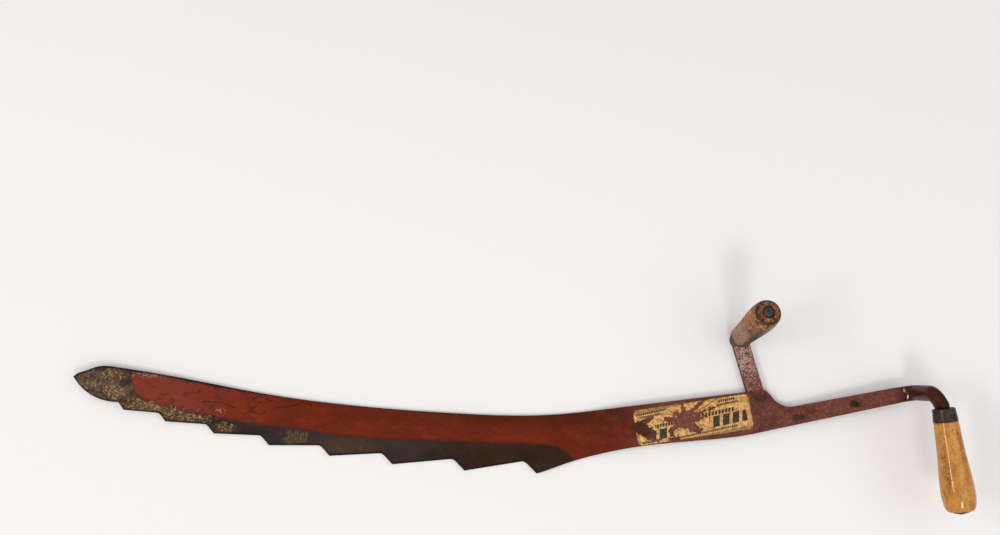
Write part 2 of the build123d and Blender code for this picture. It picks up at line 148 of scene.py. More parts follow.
class HayKnifeColours(bpy.types.PropertyGroup):
    """Colours of the finishes"""

    red: colour("Blade red", "Oil paint on the blade", "#71250E")
    red_bright: colour("Blade red, fresh", "Where the paint is least faded", "#8C2F19")
    red_brown: colour("Blade red, dirty", "Where oil has darkened the paint", "#572213")
    steel: colour("Oxidised steel", "Bare steel beside the teeth", "#3C2E28")
    steel_dark: colour("Black steel", "Scale and dirt on edges", "#1F1815")
    rust: colour("Rust", "Thin rust on bare steel", "#402B1E")
    gold: colour("Dried grime", "Dried sap and dust at the nose", "#AB885D")
    gold_dark: colour("Dried grime, dark", "Where the dried grime is thin", "#57402B")
    shank: colour("Shank paint", "Dull paint on the shank", "#724036")
    shank_bright: colour("Shank paint, worn", "Orange-brown where hands rub it", "#743E2E")
    shank_dark: colour("Shank paint, dirty", "Dark glossy paint on the crank", "#37120B")
    arm: colour("Arm paint", "Paint on the side arm", "#8F5444")
    arm_pale: colour("Arm speckle", "Pale bloom on the side arm", "#C9A89C")
    side_wood: colour("Side grip wood", "Bleached wood at the foot", "#A5866D")
    side_wood_warm: colour("Side grip wood, warm", "Oiled wood at the swell", "#8F5B35")
    side_wood_dark: colour("Side grip wood, dark", "Dirt worked into the wood", "#42281A")
    end_wood: colour("End grip wood", "Varnished wood", "#CC8A33")
    end_wood_dark: colour("End grip wood, dark", "Stain under the varnish", "#77380A")
    paper: colour("Label paper", "Aged varnished paper", "#E8B66C")
    paper_dark: colour("Label paper, dirty", "Where the paper has browned", "#A06C33")
    ink: colour("Label ink", "Faded printing ink", "#121014")


# A ramp with soft ends, from 0 at the first of two levels to 1 at the second
EASE = "MapRange.SMOOTHSTEP"
# The setting that the part of a node's kind after the dot stands for
MODES = {"Math": "operation", "VectorMath": "operation", "MapRange": "interpolation_type", "Mix": "data_type"}


def add(tree, kind, *feeds, out=0, **settings):
    """Add a node with its settings, feed its sockets in order, and give one of its outputs."""
    kind, _, mode = kind.partition(".")
    new = tree.nodes.new("ShaderNode" + kind)
    if mode:
        setattr(new, MODES[kind], mode)
    named = settings.pop("named", {})
    curve = settings.pop("curve", None)
    for name, value in settings.items():
        setattr(new, name, value)
    sockets = [socket for socket in new.inputs if socket.enabled]
    pairs = list(zip(sockets, feeds)) + [(new.inputs[name], value) for name, value in named.items()]
    for socket, value in pairs:
        if isinstance(value, bpy.types.NodeSocket):
            tree.links.new(value, socket)
        elif socket.type == "RGBA":
            socket.default_value = (*value, 1)
        else:
            socket.default_value = value
    if curve:
        line = new.mapping.curves[0].points
        for index, (place, level) in enumerate(curve):
            point = line[index] if index < 2 else line.new(place, level)
            point.location = (place, level)
            point.handle_type = "VECTOR"
        new.mapping.update()
    if isinstance(out, str):
        return new.outputs[out]
    return [socket for socket in new.outputs if socket.enabled][out]


def local_mm(tree, origin=(0, 0, 0), turn=(0, 0, 0)):
    """The surface's place in millimetres, in the frame of a piece with its own origin and turn."""
    place = add(tree, "TexCoord", out="Object")
    return add(tree, "Mapping", place, origin, turn, (MM, MM, MM), vector_type="TEXTURE")


def both(tree, *masks):
    """Where all of several masks and strengths hold at once."""
    whole = masks[0]
    for mask in masks[1:]:
        whole = add(tree, "Math.MULTIPLY", whole, mask)
    return whole


def either(tree, *masks):
    """Where any of several masks holds."""
    whole = masks[0]
    for mask in masks[1:]:
        whole = add(tree, "Math.MAXIMUM", whole, mask)
    return whole


def cloud(tree, mm, size, detail=3.0, stretch=(1, 1, 1), rough=0.55):
    """Soft noise whose lumps are so many millimetres across, drawn out along some axes."""
    place = add(tree, "VectorMath.MULTIPLY", mm, tuple(1 / (size * s) for s in stretch))
    named = {"Vector": place, "Scale": 1.0, "Detail": detail, "Roughness": rough}
    return add(tree, "TexNoise", named=named)


def wander(tree, mm, size, reach, detail=4.0):
    """A distance in millimetres that drifts from place to place, to make an edge ragged."""
    drift = add(tree, "Math.SUBTRACT", cloud(tree, mm, size, detail, rough=0.62), 0.5)
    return add(tree, "Math.MULTIPLY", drift, reach)


def ragged(tree, mm, level, size, reach, detail=4.0):
    """A level that drifts from place to place, so that the edge drawn from it is ragged."""
    return add(tree, "Math.ADD", level, wander(tree, mm, size, reach, detail))


# How far most of the noise lies from its middle, to either side
NOISE_REACH = 0.42


def patches(tree, mm, size, cover, soft=0.05, detail=3.0, stretch=(1, 1, 1)):
    """Ragged patches of one size that cover about so much of the surface."""
    edge = 0.5 + (0.5 - cover) * NOISE_REACH
    lumps = cloud(tree, mm, size, detail, stretch)
    return add(tree, EASE, lumps, edge - soft / 2, edge + soft / 2)


def grains(tree, mm, size):
    """A chance value from 0 to 1 for every grain of one size, as fine spatter and dust have."""
    place = add(tree, "VectorMath.MULTIPLY", mm, (1 / size,) * 3)
    cells = add(tree, "TexVoronoi", named={"Vector": place, "Scale": 1.0}, out="Color")
    return add(tree, "SeparateColor", cells)


def specks(tree, mm, size, radius, share):
    """Small round specks on a jittered grid, of which only a share is drawn."""
    place = add(tree, "VectorMath.MULTIPLY", mm, (1 / size,) * 3)
    cells = add(tree, "TexVoronoi", named={"Vector": place, "Scale": 1.0}, out="Distance").node
    near = add(tree, EASE, cells.outputs["Distance"], radius / size, radius / size * 0.5)
    pick = add(tree, "SeparateColor", cells.outputs["Color"])
    return both(tree, near, add(tree, "Math.LESS_THAN", pick, share))


def spot(tree, mm, middle, half, edge_reach, edge_size, soft):
    """One ragged oval patch, with its half sizes in millimetres and its edge's reach, size and blur."""
    away = add(tree, "VectorMath.SUBTRACT", mm, middle)
    share = add(tree, "VectorMath.DIVIDE", away, half)
    far = add(tree, "VectorMath.LENGTH", share, out="Value")
    far = ragged(tree, mm, far, edge_size, edge_reach, 3.0)
    return add(tree, EASE, far, 1 + soft / 2, 1 - soft / 2)


def spots(tree, mm, places, *edge):
    """Where any of several ragged patches lies, each with its middle, half sizes and strength."""
    each = [both(tree, spot(tree, mm, middle, half, *edge), strength) for middle, half, strength in places]
    return either(tree, *each)


def tint_over(tree, colours, *layers):
    """Lay colours over a colour, each with the mask where it shows and its strength there."""
    for where, strength, tone in layers:
        colours = add(tree, "Mix.RGBA", both(tree, where, strength), colours, tone)
    return colours


def tones(tree, mm, size, dark, light, stretch=(1, 1, 1), detail=3.0, spread=0.16):
    """Colour that drifts between two tones in lumps of one size."""
    lumps = cloud(tree, mm, size, detail, stretch)
    drift = add(tree, EASE, lumps, 0.5 - spread, 0.5 + spread)
    return add(tree, "Mix.RGBA", drift, dark, light)


# A finish holds its colour, roughness, metal and height in millimetres; each is mixed in its own way
LAYERS = {"colour": "Mix.RGBA", "rough": "Mix.FLOAT", "metal": "Mix.FLOAT", "high": "Mix.FLOAT"}


def lay(tree, where, under, over):
    """Lay one finish over another where a mask says."""
    return {key: add(tree, kind, where, under[key], over[key]) for key, kind in LAYERS.items()}


def finish(name, tree_of, **shader):
    """A material whose colour, gloss, metal and height come from its own pattern."""
    made = bpy.data.materials.new(name)
    made.use_nodes = True
    tree = made.node_tree
    surface = tree_of(tree)
    principled = tree.nodes["Principled BSDF"]
    for key, value in shader.items():
        principled.inputs[key.replace("_", " ")].default_value = value
    bump = {"Height": surface["high"], "Distance": MM, "Strength": 1.0}
    links = {
        "Base Color": surface["colour"],
        "Roughness": surface["rough"],
        "Metallic": surface["metal"],
        "Normal": add(tree, "Bump", named=bump),
    }
    for key, value in links.items():
        if isinstance(value, bpy.types.NodeSocket):
            tree.links.new(value, principled.inputs[key])
        else:
            principled.inputs[key].default_value = value
    return made


def bare_steel(tree, mm, tint):
    """Oxidised steel: dark scale with thin rust and fine pits."""
    drift = tones(tree, mm, 16, tint.steel_dark, tint.steel, stretch=(2.5, 1, 1), spread=0.24)
    rusty = patches(tree, mm, 9, 0.4, soft=0.35, detail=5.0)
    fine = grains(tree, mm, 1.3)
    pits = add(tree, "Math.LESS_THAN", fine, 0.22)
    bright = add(tree, "Math.GREATER_THAN", fine, 0.93)
    return {
        "colour": tint_over(
            tree,
            drift,
            (rusty, 0.6, tint.rust),
            (pits, 0.35, tint.steel_dark),
            (bright, 0.12, linear("#6B5C55")),
        ),
        "rough": add(tree, "Mix.FLOAT", fine, 0.45, 0.68),
        "metal": 0.3,
        "high": both(tree, pits, -0.03),
    }


# Edges of the plan in millimetres: the paint's lower edge, the back edge and the toothed edge
PAINT_EDGE = [
    (-640, 78), (-560.8, 78), (-560, 50), (-555, 38), (-545, 31.5), (-522, 25), (-497, 20), (-455, 10.2),
    (-422, 5.2), (-377, 0.9), (-355, -3.9), (-293, -10), (-222, -12.1), (-111, -16.2), (-98, -18.7),
    (-87, -25.3), (-70, -42), (20, -58),
]
BACK_EDGE = [
    (-640, 48), (-623.5, 57), (-611.5, 63.6), (-597.5, 68.5), (-577, 67.7), (-540, 61.9), (-489.3, 52.6),
    (-422.7, 39.8), (-322.3, 26.4), (-200, 17.3), (-100.2, 16.4), (-29, 24.2), (20, 30),
]
LOW_EDGE = [
    (-640, 78), (-623.5, 57), (-620, 51.9), (-615, 46.2), (-604.5, 38), (-590, 31.8), (-573.9, 30),
    (-568.1, 21.6), (-529.8, 18.2), (-522.9, 9.1), (-478.2, 5.9), (-470.3, -3.8), (-419.2, -6.1),
    (-410.3, -16.5), (-354.7, -16.7), (-344.7, -27.8), (-287.7, -25), (-276.6, -36.8), (-210.5, -31.1),
    (-198.4, -43.6), (-133.6, -33.4), (-120.4, -46.6), (20, -20),
]
# The ranges of X and Y that the edges are drawn in
CURVE_X = (-640, 20)
CURVE_Y = (-60, 80)


def edge_line(tree, x, points):
    """Height of an edge of the plan, in millimetres, at each place along the blade."""
    span_x, span_y = CURVE_X[1] - CURVE_X[0], CURVE_Y[1] - CURVE_Y[0]
    curve = [((px - CURVE_X[0]) / span_x, (py - CURVE_Y[0]) / span_y) for px, py in points]
    curve = [curve[0], curve[-1], *curve[1:-1]]
    share = add(tree, "MapRange.LINEAR", x, *CURVE_X)
    level = add(tree, "FloatCurve", 1.0, share, curve=curve)
    return add(tree, "MapRange.LINEAR", level, 0.0, 1.0, *CURVE_Y)


def shaded_walls(tree):
    """Where a surface stands on edge, by its own normal: the walls that are darkened as painted shade."""
    normal = add(tree, "TexCoord", out="Normal")
    level = add(tree, "Math.ABSOLUTE", add(tree, "SeparateXYZ", normal, out="Z"))
    return add(tree, EASE, level, 0.75, 0.35)


# Places along the knife in millimetres: where each change sets in and where it is complete
PAINT_RUNS = {
    "oily": (-340, -150),
    "heel": (-130, -70),
}
BLADE_RUNS = {
    "brown_steel": (-290, -170),
    "fore": (-380, -430),
    "loose_edge": (-400, -490),
    "close_to_back": (-500, -400),
    "faded": (-420, -530),
    "tooth_film": (-470, -520),
    "past_paint": (-561, -566),
    "nose_ground": (-565, -580),
    "nose_cake": (-566, -588),
    "nose_film": (-569, -575),
}
SHANK_RUNS = {
    "shaded_fore_end": (-18, -50),
    "orange": (0, -40),
    "past_label": (85, 115),
    "bar": (120, 190),
    "crank": (262, 276),
}


def reached(tree, x, runs):
    """For each named run along the knife, how far its change has gone, from 0 to 1."""
    return {name: add(tree, EASE, x, *ends) for name, ends in runs.items()}


def red_paint(tree, mm, x, y, tint):
    """Old red oil paint, nearly even on the blade and blotched with oil towards the shank."""
    run = reached(tree, x, PAINT_RUNS)
    below_back = add(tree, "Math.SUBTRACT", edge_line(tree, x, BACK_EDGE), y)
    red = tones(tree, mm, 15, linear("#5F1F0C"), tint.red, stretch=(4, 1, 1), spread=0.2)
    fresh = patches(tree, mm, 13, 0.34, soft=0.3, stretch=(2.6, 1, 1), detail=5.0)
    streaks = patches(tree, mm, 1.6, 0.38, soft=0.16, stretch=(6, 1, 1), detail=5.0)
    grime = patches(tree, mm, 2.6, 0.30, soft=0.22, stretch=(1.6, 1, 1), detail=5.0)
    oily = both(tree, run["oily"], add(tree, EASE, below_back, 24, 4))
    heel = both(tree, run["heel"], add(tree, EASE, ragged(tree, mm, below_back, 12, 30), 24, 12))
    fine = grains(tree, mm, 1.4)
    red = tint_over(
        tree,
        red,
        (fresh, 0.5, tint.red_bright),
        (streaks, 0.42, tint.red_brown),
        (grime, 0.45, tint.red_brown),
        (oily, 0.6, linear("#4A200F")),
        (heel, 0.55, linear("#47190B")),
        (add(tree, EASE, fine, 0.30, 0.05), 0.35, tint.red_brown),
        (add(tree, EASE, fine, 0.86, 0.98), 0.12, linear("#A2523A")),
        (specks(tree, mm, 8, 0.8, 0.2), 0.45, linear("#96614C")),
    )
    return red, fine, below_back


# Length over which a scratch fades out at each end, in millimetres
STROKE_END = 2


def stroke(tree, x, y, start, end, level, rise, wave, pitch, half):
    """One wandering scratch: a sloping wavy line between two places along the blade."""
    along = add(tree, "Math.SUBTRACT", x, start)
    bend = both(tree, add(tree, "Math.SINE", add(tree, "Math.DIVIDE", along, pitch)), wave)
    line = add(tree, "Math.ADD", add(tree, "Math.MULTIPLY_ADD", along, rise, level), bend)
    away = add(tree, "Math.ABSOLUTE", add(tree, "Math.SUBTRACT", y, line))
    thin = add(tree, EASE, away, half * (1.5 + 0.5 * abs(rise)), half * 0.5)
    from_middle = add(tree, "Math.ABSOLUTE", add(tree, "Math.SUBTRACT", x, (start + end) / 2))
    reach = (end - start) / 2
    return both(tree, thin, add(tree, EASE, from_middle, reach, reach - STROKE_END))


SCRATCHES = (
    # from, to, level at the start, slope, wave, its pitch, half width, in millimetres
    (-485, -462, 29.5, 0.05, 0.9, 4.0, 0.45),
    (-466, -447, 29.5, -0.28, 0.7, 3.2, 0.45),
    (-441, -420, 12, 0.85, 1.6, 6.0, 0.36),
    (-431, -404, 32.5, 0.07, 2.8, 5.2, 0.45),
    (-428, -416, 28.5, 0.10, 1.4, 2.6, 0.40),
    (-408, -372, 22, 0.20, 1.2, 4.5, 0.45),
    (-434, -414, 19, -0.06, 0.8, 2.8, 0.42),
)
CAKES = (
    # middle, half sizes and strength of the caked grime, in millimetres
    ((-583, 59, 9), (12, 7, 20), 0.95),
    ((-578, 41, 9), (14, 7, 20), 1.0),
    ((-600, 49, 9), (9, 8, 20), 0.62),
    ((-545, 26, 8), (24, 9, 20), 1.0),
    ((-518, 24, 8), (13, 9, 20), 0.95),
    ((-494, 12, 7), (26, 7, 20), 0.72),
    ((-460, 2, 6), (13, 6, 20), 0.66),
)


FLECKS = (
    # middle, half sizes and strength of the two lines of pale flecks above the first teeth
    ((-497, 21, 5), (9, 3.2, 30), 1.0),
    ((-462, 20.5, 5), (9, 3.0, 30), 1.0),
)


def blade_steel(tree, mm, run, tint):
    """Bare steel: blue in mid blade, brown at the heel, with a film of dust at the nose and a smear."""
    steel = bare_steel(tree, mm, tint)
    bluish = spot(tree, mm, (-335, -15, 3), (105, 30, 30), 0.6, 20, 0.9)
    haze = patches(tree, mm, 11, 0.42, soft=0.3, stretch=(2.4, 1, 1), detail=6.0)
    film = either(tree, run["nose_film"], both(tree, run["tooth_film"], 0.5))
    dusty = tones(tree, mm, 9, linear("#42332C"), linear("#745E50"), detail=7.0, spread=0.12)
    smear = spot(tree, mm, (-382, -9, 5), (14.5, 7.5, 30), 1.5, 5, 0.4)
    trail = spot(tree, mm, (-325, -18, 4), (38, 9, 30), 1.0, 6, 1.3)
    combed = tones(tree, mm, 1.8, linear("#3F2F20"), linear("#6F5B3E"), stretch=(1, 2.2, 1), detail=6.0)
    steel["colour"] = tint_over(
        tree,
        steel["colour"],
        (bluish, 0.6, linear("#352B30")),
        (haze, 0.2, linear("#55433A")),
        (run["brown_steel"], 0.6, linear("#33200F")),
        (film, 0.85, dusty),
        (trail, 0.5, linear("#543E27")),
        (smear, 0.8, combed),
    )
    return steel, trail


def blade_paint(tree, mm, x, y, above, run, tint):
    """Red paint: dirtier towards the nose, scratched and flecked, and thin and dark at its lower edge."""
    red, fine, below_back = red_paint(tree, mm, x, y, tint)
    strokes = either(tree, *[stroke(tree, x, y, *line) for line in SCRATCHES])
    scratch = both(tree, strokes, patches(tree, mm, 2.2, 0.8, soft=0.3))
    dirt = patches(tree, mm, 7, 0.34, soft=0.16, stretch=(1.5, 1, 1), detail=7.0)
    chance = ragged(tree, mm, grains(tree, mm, 1.1), 4, 0.5)
    flecks = both(tree, spots(tree, mm, FLECKS, 0.8, 4, 0.5), add(tree, EASE, chance, 0.88, 0.96))
    red = tint_over(
        tree,
        red,
        (run["fore"], 0.42, tint.red_bright),
        (run["faded"], 0.28, linear("#8A4C41")),
        (both(tree, dirt, run["fore"]), 0.6, linear("#4A2A1C")),
        (add(tree, EASE, above, 3.5, 0), 0.5, linear("#35180F")),
        (scratch, 0.85, linear("#1E100C")),
        (flecks, 0.85, linear("#D9A980")),
    )
    paint = {
        "colour": red,
        "rough": add(tree, "Mix.FLOAT", fine, 0.45, 0.62),
        "metal": 0.0,
        "high": add(tree, "Math.MULTIPLY_ADD", scratch, -0.12, 0.12),
    }
    return paint, below_back


def caked_grime(tree, mm, place, tint):
    """Dried sap and dust in lumps with dark cracks between them, and the mask where it lies."""
    lumps = cloud(tree, mm, 4.5, 8.0, rough=0.68)
    spatter = grains(tree, mm, 1.25)
    body = add(tree, "Math.MULTIPLY_ADD", place, 0.38, add(tree, "Math.MULTIPLY_ADD", spatter, 0.10, lumps))
    crust = both(tree, add(tree, EASE, body, 0.64, 0.86), add(tree, EASE, place, 0.0, 0.2))
    fibres = cloud(tree, mm, 2.4, 7.0, rough=0.7)
    shade = add(tree, EASE, add(tree, "Math.MULTIPLY_ADD", spatter, 0.12, fibres), 0.44, 0.70)
    bend = both(tree, cloud(tree, mm, 5, 4.0), 1.6)
    cells = add(tree, "VectorMath.MULTIPLY_ADD", mm, (1 / 6, 1 / 4, 1 / 6), bend)
    gaps = add(tree, "TexVoronoi", named={"Vector": cells, "Scale": 1.0}, feature="DISTANCE_TO_EDGE")
    cracks = both(tree, add(tree, EASE, gaps, 0.13, 0.04), patches(tree, mm, 9, 0.6, soft=0.2))
    grime = {
        "colour": tint_over(
            tree,
            add(tree, "Mix.RGBA", shade, tint.gold_dark, tint.gold),
            (cracks, 0.85, linear("#241911")),
            (add(tree, EASE, spatter, 0.2, 0.0), 0.7, linear("#33251C")),
            (add(tree, EASE, spatter, 0.92, 1.0), 0.7, linear("#B39A7E")),
        ),
        "rough": 0.85,
        "metal": 0.0,
        "high": add(tree, "Mix.FLOAT", lumps, 0.05, 0.45),
    }
    return grime, crust


def blade_surface(tint):
    """Red oil paint worn back to dark steel along the teeth, with dried grime at the nose."""

    def surface(tree):
        mm = local_mm(tree)
        apart = add(tree, "SeparateXYZ", mm).node
        x, y, z = (apart.outputs[axis] for axis in "XYZ")
        run = reached(tree, x, BLADE_RUNS)
        drift = add(tree, "Mix.FLOAT", run["loose_edge"], wander(tree, mm, 6, 2.5), wander(tree, mm, 7, 12))
        above = add(tree, "Math.ADD", add(tree, "Math.SUBTRACT", y, edge_line(tree, x, PAINT_EDGE)), drift)
        steel, trail = blade_steel(tree, mm, run, tint)
        paint, below_back = blade_paint(tree, mm, x, y, above, run, tint)
        # The paint stops short of the back edge, by less from a third of the way along
        strip = add(tree, "Mix.FLOAT", run["close_to_back"], 2.6, 0.9)
        off_back = add(tree, "Math.SUBTRACT", ragged(tree, mm, below_back, 8, 5), strip)
        on_paint = both(
            tree,
            add(tree, EASE, above, -0.6, 0.6),
            add(tree, EASE, off_back, -0.5, 0.8),
            add(tree, EASE, specks(tree, mm, 9, 1.1, 0.12), 0.6, 0.2),
        )
        skin = lay(tree, on_paint, steel, paint)
        # Pale primer shows in chips along the back edge near the nose
        primed = spot(tree, mm, (-540, 59.5, 6), (22, 2.8, 30), 1.2, 3, 0.6)
        chips = both(tree, primed, patches(tree, mm, 2.2, 0.5, detail=5.0))
        skin["colour"] = tint_over(tree, skin["colour"], (chips, 0.7, linear("#A37468")))
        # Dried grime cakes the nose and the first teeth, keeps off the paint, and thins out beyond
        cakes = either(tree, spots(tree, mm, CAKES, 1.6, 6, 1.0), both(tree, run["nose_cake"], 0.36))
        off_paint = either(tree, add(tree, EASE, above, 2.0, -1.5), run["past_paint"])
        place = either(tree, both(tree, cakes, off_paint), both(tree, trail, 0.12))
        grime, crust = caked_grime(tree, mm, place, tint)
        skin = lay(tree, both(tree, crust, 0.88), skin, grime)
        crumbs = both(tree, specks(tree, mm, 3.8, 0.9, 0.3), add(tree, EASE, place, 0.3, 0.6), run["fore"])
        # The ground bevel under the nose shows greyer steel
        bow = add(tree, "Math.MAXIMUM", add(tree, "Math.SUBTRACT", BOW_START, x), 0.0)
        top = add(tree, "Math.MULTIPLY_ADD", both(tree, bow, bow), 1 / (2 * BOW_RADIUS), BLADE_THICK)
        dip = add(tree, "Math.SUBTRACT", top, z)
        worn = patches(tree, mm, 5, 0.55, soft=0.3)
        ground = both(tree, add(tree, EASE, dip, 0.15, 0.5), run["nose_ground"], worn)
        # Scale keeps the back edge, the toothed edge and what is ground black, and faces that stand on edge
        # are darkened as painted shade
        wide = add(tree, "Mix.FLOAT", run["close_to_back"], 1.8, 0.7)
        off_rim = add(tree, "Math.SUBTRACT", ragged(tree, mm, below_back, 4, 3.5), wide)
        off_teeth = add(tree, "Math.SUBTRACT", ragged(tree, mm, y, 4, 2), edge_line(tree, x, LOW_EDGE))
        rim = either(
            tree,
            add(tree, EASE, off_rim, 0.8, -0.6),
            add(tree, EASE, dip, 0.5, 1.1),
            add(tree, EASE, off_teeth, 3.0, 1.4),
            # painted shade on the faces that stand on edge
            shaded_walls(tree),
        )
        skin["colour"] = tint_over(
            tree,
            skin["colour"],
            (crumbs, 0.8, linear("#BDA383")),
            (ground, 0.5, linear("#7A7068")),
            (rim, 0.75, tint.steel_dark),
        )
        return skin

    return finish("oil_painted_forged_steel", surface, Specular_IOR_Level=0.06)


WORN_THROUGH = (
    # middle, half sizes and strength: bare places of the bar, dirt round the rivets
    ((164, 13.5, 6), (7.5, 4, 20), 0.65),
    ((223, 28, 8), (6.5, 4, 20), 0.9),
    ((121, 34, 8), (9, 6, 20), 0.45),
    ((-6, 0, 8), (10, 9, 20), 0.5),
    ((176, 20, 8), (6, 3, 20), 0.4),
)


def shank_surface(tint):
    """Dull red-brown paint on forged iron, rubbed on the bar and dark and glossy on the crank."""

    def surface(tree):
        mm = local_mm(tree)
        apart = add(tree, "SeparateXYZ", mm).node
        x, y = apart.outputs["X"], apart.outputs["Y"]
        run = reached(tree, x, SHANK_RUNS)
        red, fine, _ = red_paint(tree, mm, x, y, tint)
        brown = tones(tree, mm, 8, linear("#5A3026"), tint.shank, stretch=(1.6, 1, 1), detail=5.0)
        glossy = tones(tree, mm, 16, tint.shank_dark, linear("#4B1F17"))
        dull = add(tree, "Math.SUBTRACT", 1.0, run["crank"])
        as_blade = add(tree, EASE, ragged(tree, mm, x, 16, 70), 12, -34)
        orange = patches(tree, mm, 9, 0.36, soft=0.2, stretch=(1.4, 1, 1), detail=4.0)
        rubbed = patches(tree, mm, 10, 0.6, soft=0.3, stretch=(2, 1, 1))
        bloom = patches(tree, mm, 5, 0.6, soft=0.3, detail=5.0)
        pale = add(tree, EASE, fine, 0.72, 0.9)
        dark = add(tree, EASE, fine, 0.24, 0.06)
        # Where the label is torn off, the paint below is scuffed pale
        scuffed = spot(tree, mm, (40.9, 12.8, 8), (26, 13, 20), 0.8, 5, 0.5)
        base = tint_over(
            tree,
            brown,
            (as_blade, 1.0, red),
            (both(tree, orange, run["orange"]), 0.3, linear("#8A3414")),
            (both(tree, run["bar"], rubbed), 0.75, tint.shank_bright),
            (run["crank"], 0.95, glossy),
            (both(tree, pale, dull, run["past_label"], bloom), 0.32, linear("#9A6C5E")),
            (both(tree, dark, dull, run["past_label"]), 0.4, linear("#351D19")),
            # Painted shade darkens the fore end, where the shank's face feathers down to the blade
            (run["shaded_fore_end"], 0.22, linear("#3F160A")),
            (scuffed, 0.5, linear("#7E4438")),
            (both(tree, scuffed, pale), 0.25, linear("#B98672")),
            (both(tree, specks(tree, mm, 4.5, 0.9, 0.3), dull), 0.6, tint.steel_dark),
            (spots(tree, mm, WORN_THROUGH, 1.8, 5, 0.9), 1.0, linear("#211714")),
        )
        lumps = cloud(tree, mm, 3.0, 4.0)
        paint = {
            "colour": base,
            "rough": add(tree, "Mix.FLOAT", run["crank"], add(tree, "Mix.FLOAT", lumps, 0.45, 0.62), 0.30),
            "metal": 0.0,
            "high": both(tree, lumps, dull, 0.12),
        }
        # A pale chip and a scrape cross the crank's foot
        chip = spot(tree, mm, (277.6, 35.6, 14), (0.9, 2.9, 12), 0.9, 2, 0.4)
        scrape = spot(tree, mm, (274.4, 42.2, 14), (1.2, 2.2, 12), 1.8, 2, 0.8)
        bare = {"colour": linear("#E6CFC4"), "rough": 0.6, "metal": 0.0, "high": -0.05}
        skin = lay(tree, either(tree, chip, both(tree, scrape, 0.55)), paint, bare)
        # Painted shade darkens the faces that stand on edge, off the crank
        edge = both(tree, shaded_walls(tree), dull)
        skin["colour"] = tint_over(tree, skin["colour"], (edge, 0.8, tint.steel_dark))
        return skin

    return finish("worn_paint_on_forged_iron", surface, Specular_IOR_Level=0.09)


def arm_surface(tint):
    """Thin paint bloomed with pale specks on the side arm, and bare dark steel up the spindle."""

    def surface(tree):
        mm = local_mm(tree)
        apart = add(tree, "SeparateXYZ", mm).node
        y, z = apart.outputs["Y"], apart.outputs["Z"]
        base = tones(tree, mm, 5, linear("#6C3B2F"), tint.arm, detail=6.0)
        # The bloom is thickest half-way up the arm
        height = ragged(tree, mm, y, 9, 26)
        half_way = both(tree, add(tree, EASE, height, 52, 70), add(tree, EASE, height, 104, 84))
        chance = ragged(tree, mm, grains(tree, mm, 0.95), 3.6, 0.9, 5.0)
        pale = add(tree, EASE, add(tree, "Math.MULTIPLY_ADD", half_way, 0.42, chance), 0.84, 1.05)
        greenish = add(tree, EASE, grains(tree, mm, 1.4), 0.86, 0.9)
        base = tint_over(
            tree,
            base,
            (greenish, 0.5, linear("#86704F")),
            (pale, 0.8, tint.arm_pale),
            (add(tree, EASE, chance, 0.26, 0.06), 0.6, linear("#4A2423")),
        )
        paint = {"colour": base, "rough": 0.6, "metal": 0.0, "high": both(tree, chance, 0.07)}
        skin = lay(tree, add(tree, EASE, z, 7.5, 9), paint, bare_steel(tree, mm, tint))
        # The spindle's peened tip is rubbed to blue-grey steel
        rubbed = tones(tree, mm, 3, linear("#343436"), linear("#505256"))
        skin["colour"] = tint_over(
            tree,
            skin["colour"],
            # Painted shade darkens the faces that stand on edge
            (shaded_walls(tree), 0.8, tint.steel_dark),
            (add(tree, EASE, z, 100, 104), 1.0, rubbed),
        )
        return skin

    return finish("bloomed_paint_on_forged_iron", surface, Specular_IOR_Level=0.2)


def hardware_surface(tint):
    """Blackened mild steel: ferrule, burrs and washer, rubbed a little on their edges."""

    def surface(tree):
        mm = local_mm(tree)
        steel = bare_steel(tree, mm, tint)
        rubbed = patches(tree, mm, 5, 0.3, soft=0.3)
        steel["colour"] = tint_over(tree, steel["colour"], (rubbed, 0.5, linear("#5C534E")))
        steel["rough"] = add(tree, "Mix.FLOAT", rubbed, 0.38, 0.26)
        steel["metal"] = 0.5
        return steel

    return finish("blackened_mild_steel", surface, Specular_IOR_Level=0.3)


def frame_turn(axis):
    """The turn that takes +Z to an axis and keeps X level."""
    across = Vector((0, 1, 0)).cross(axis).normalized()
    return Matrix((across, axis.cross(across), axis)).transposed()


# Level direction from the side grip's axis towards the bar, in the grip's own frame, and its radius
TO_BAR = (0.646, -0.764, 0)
SIDE_RADIUS = 13


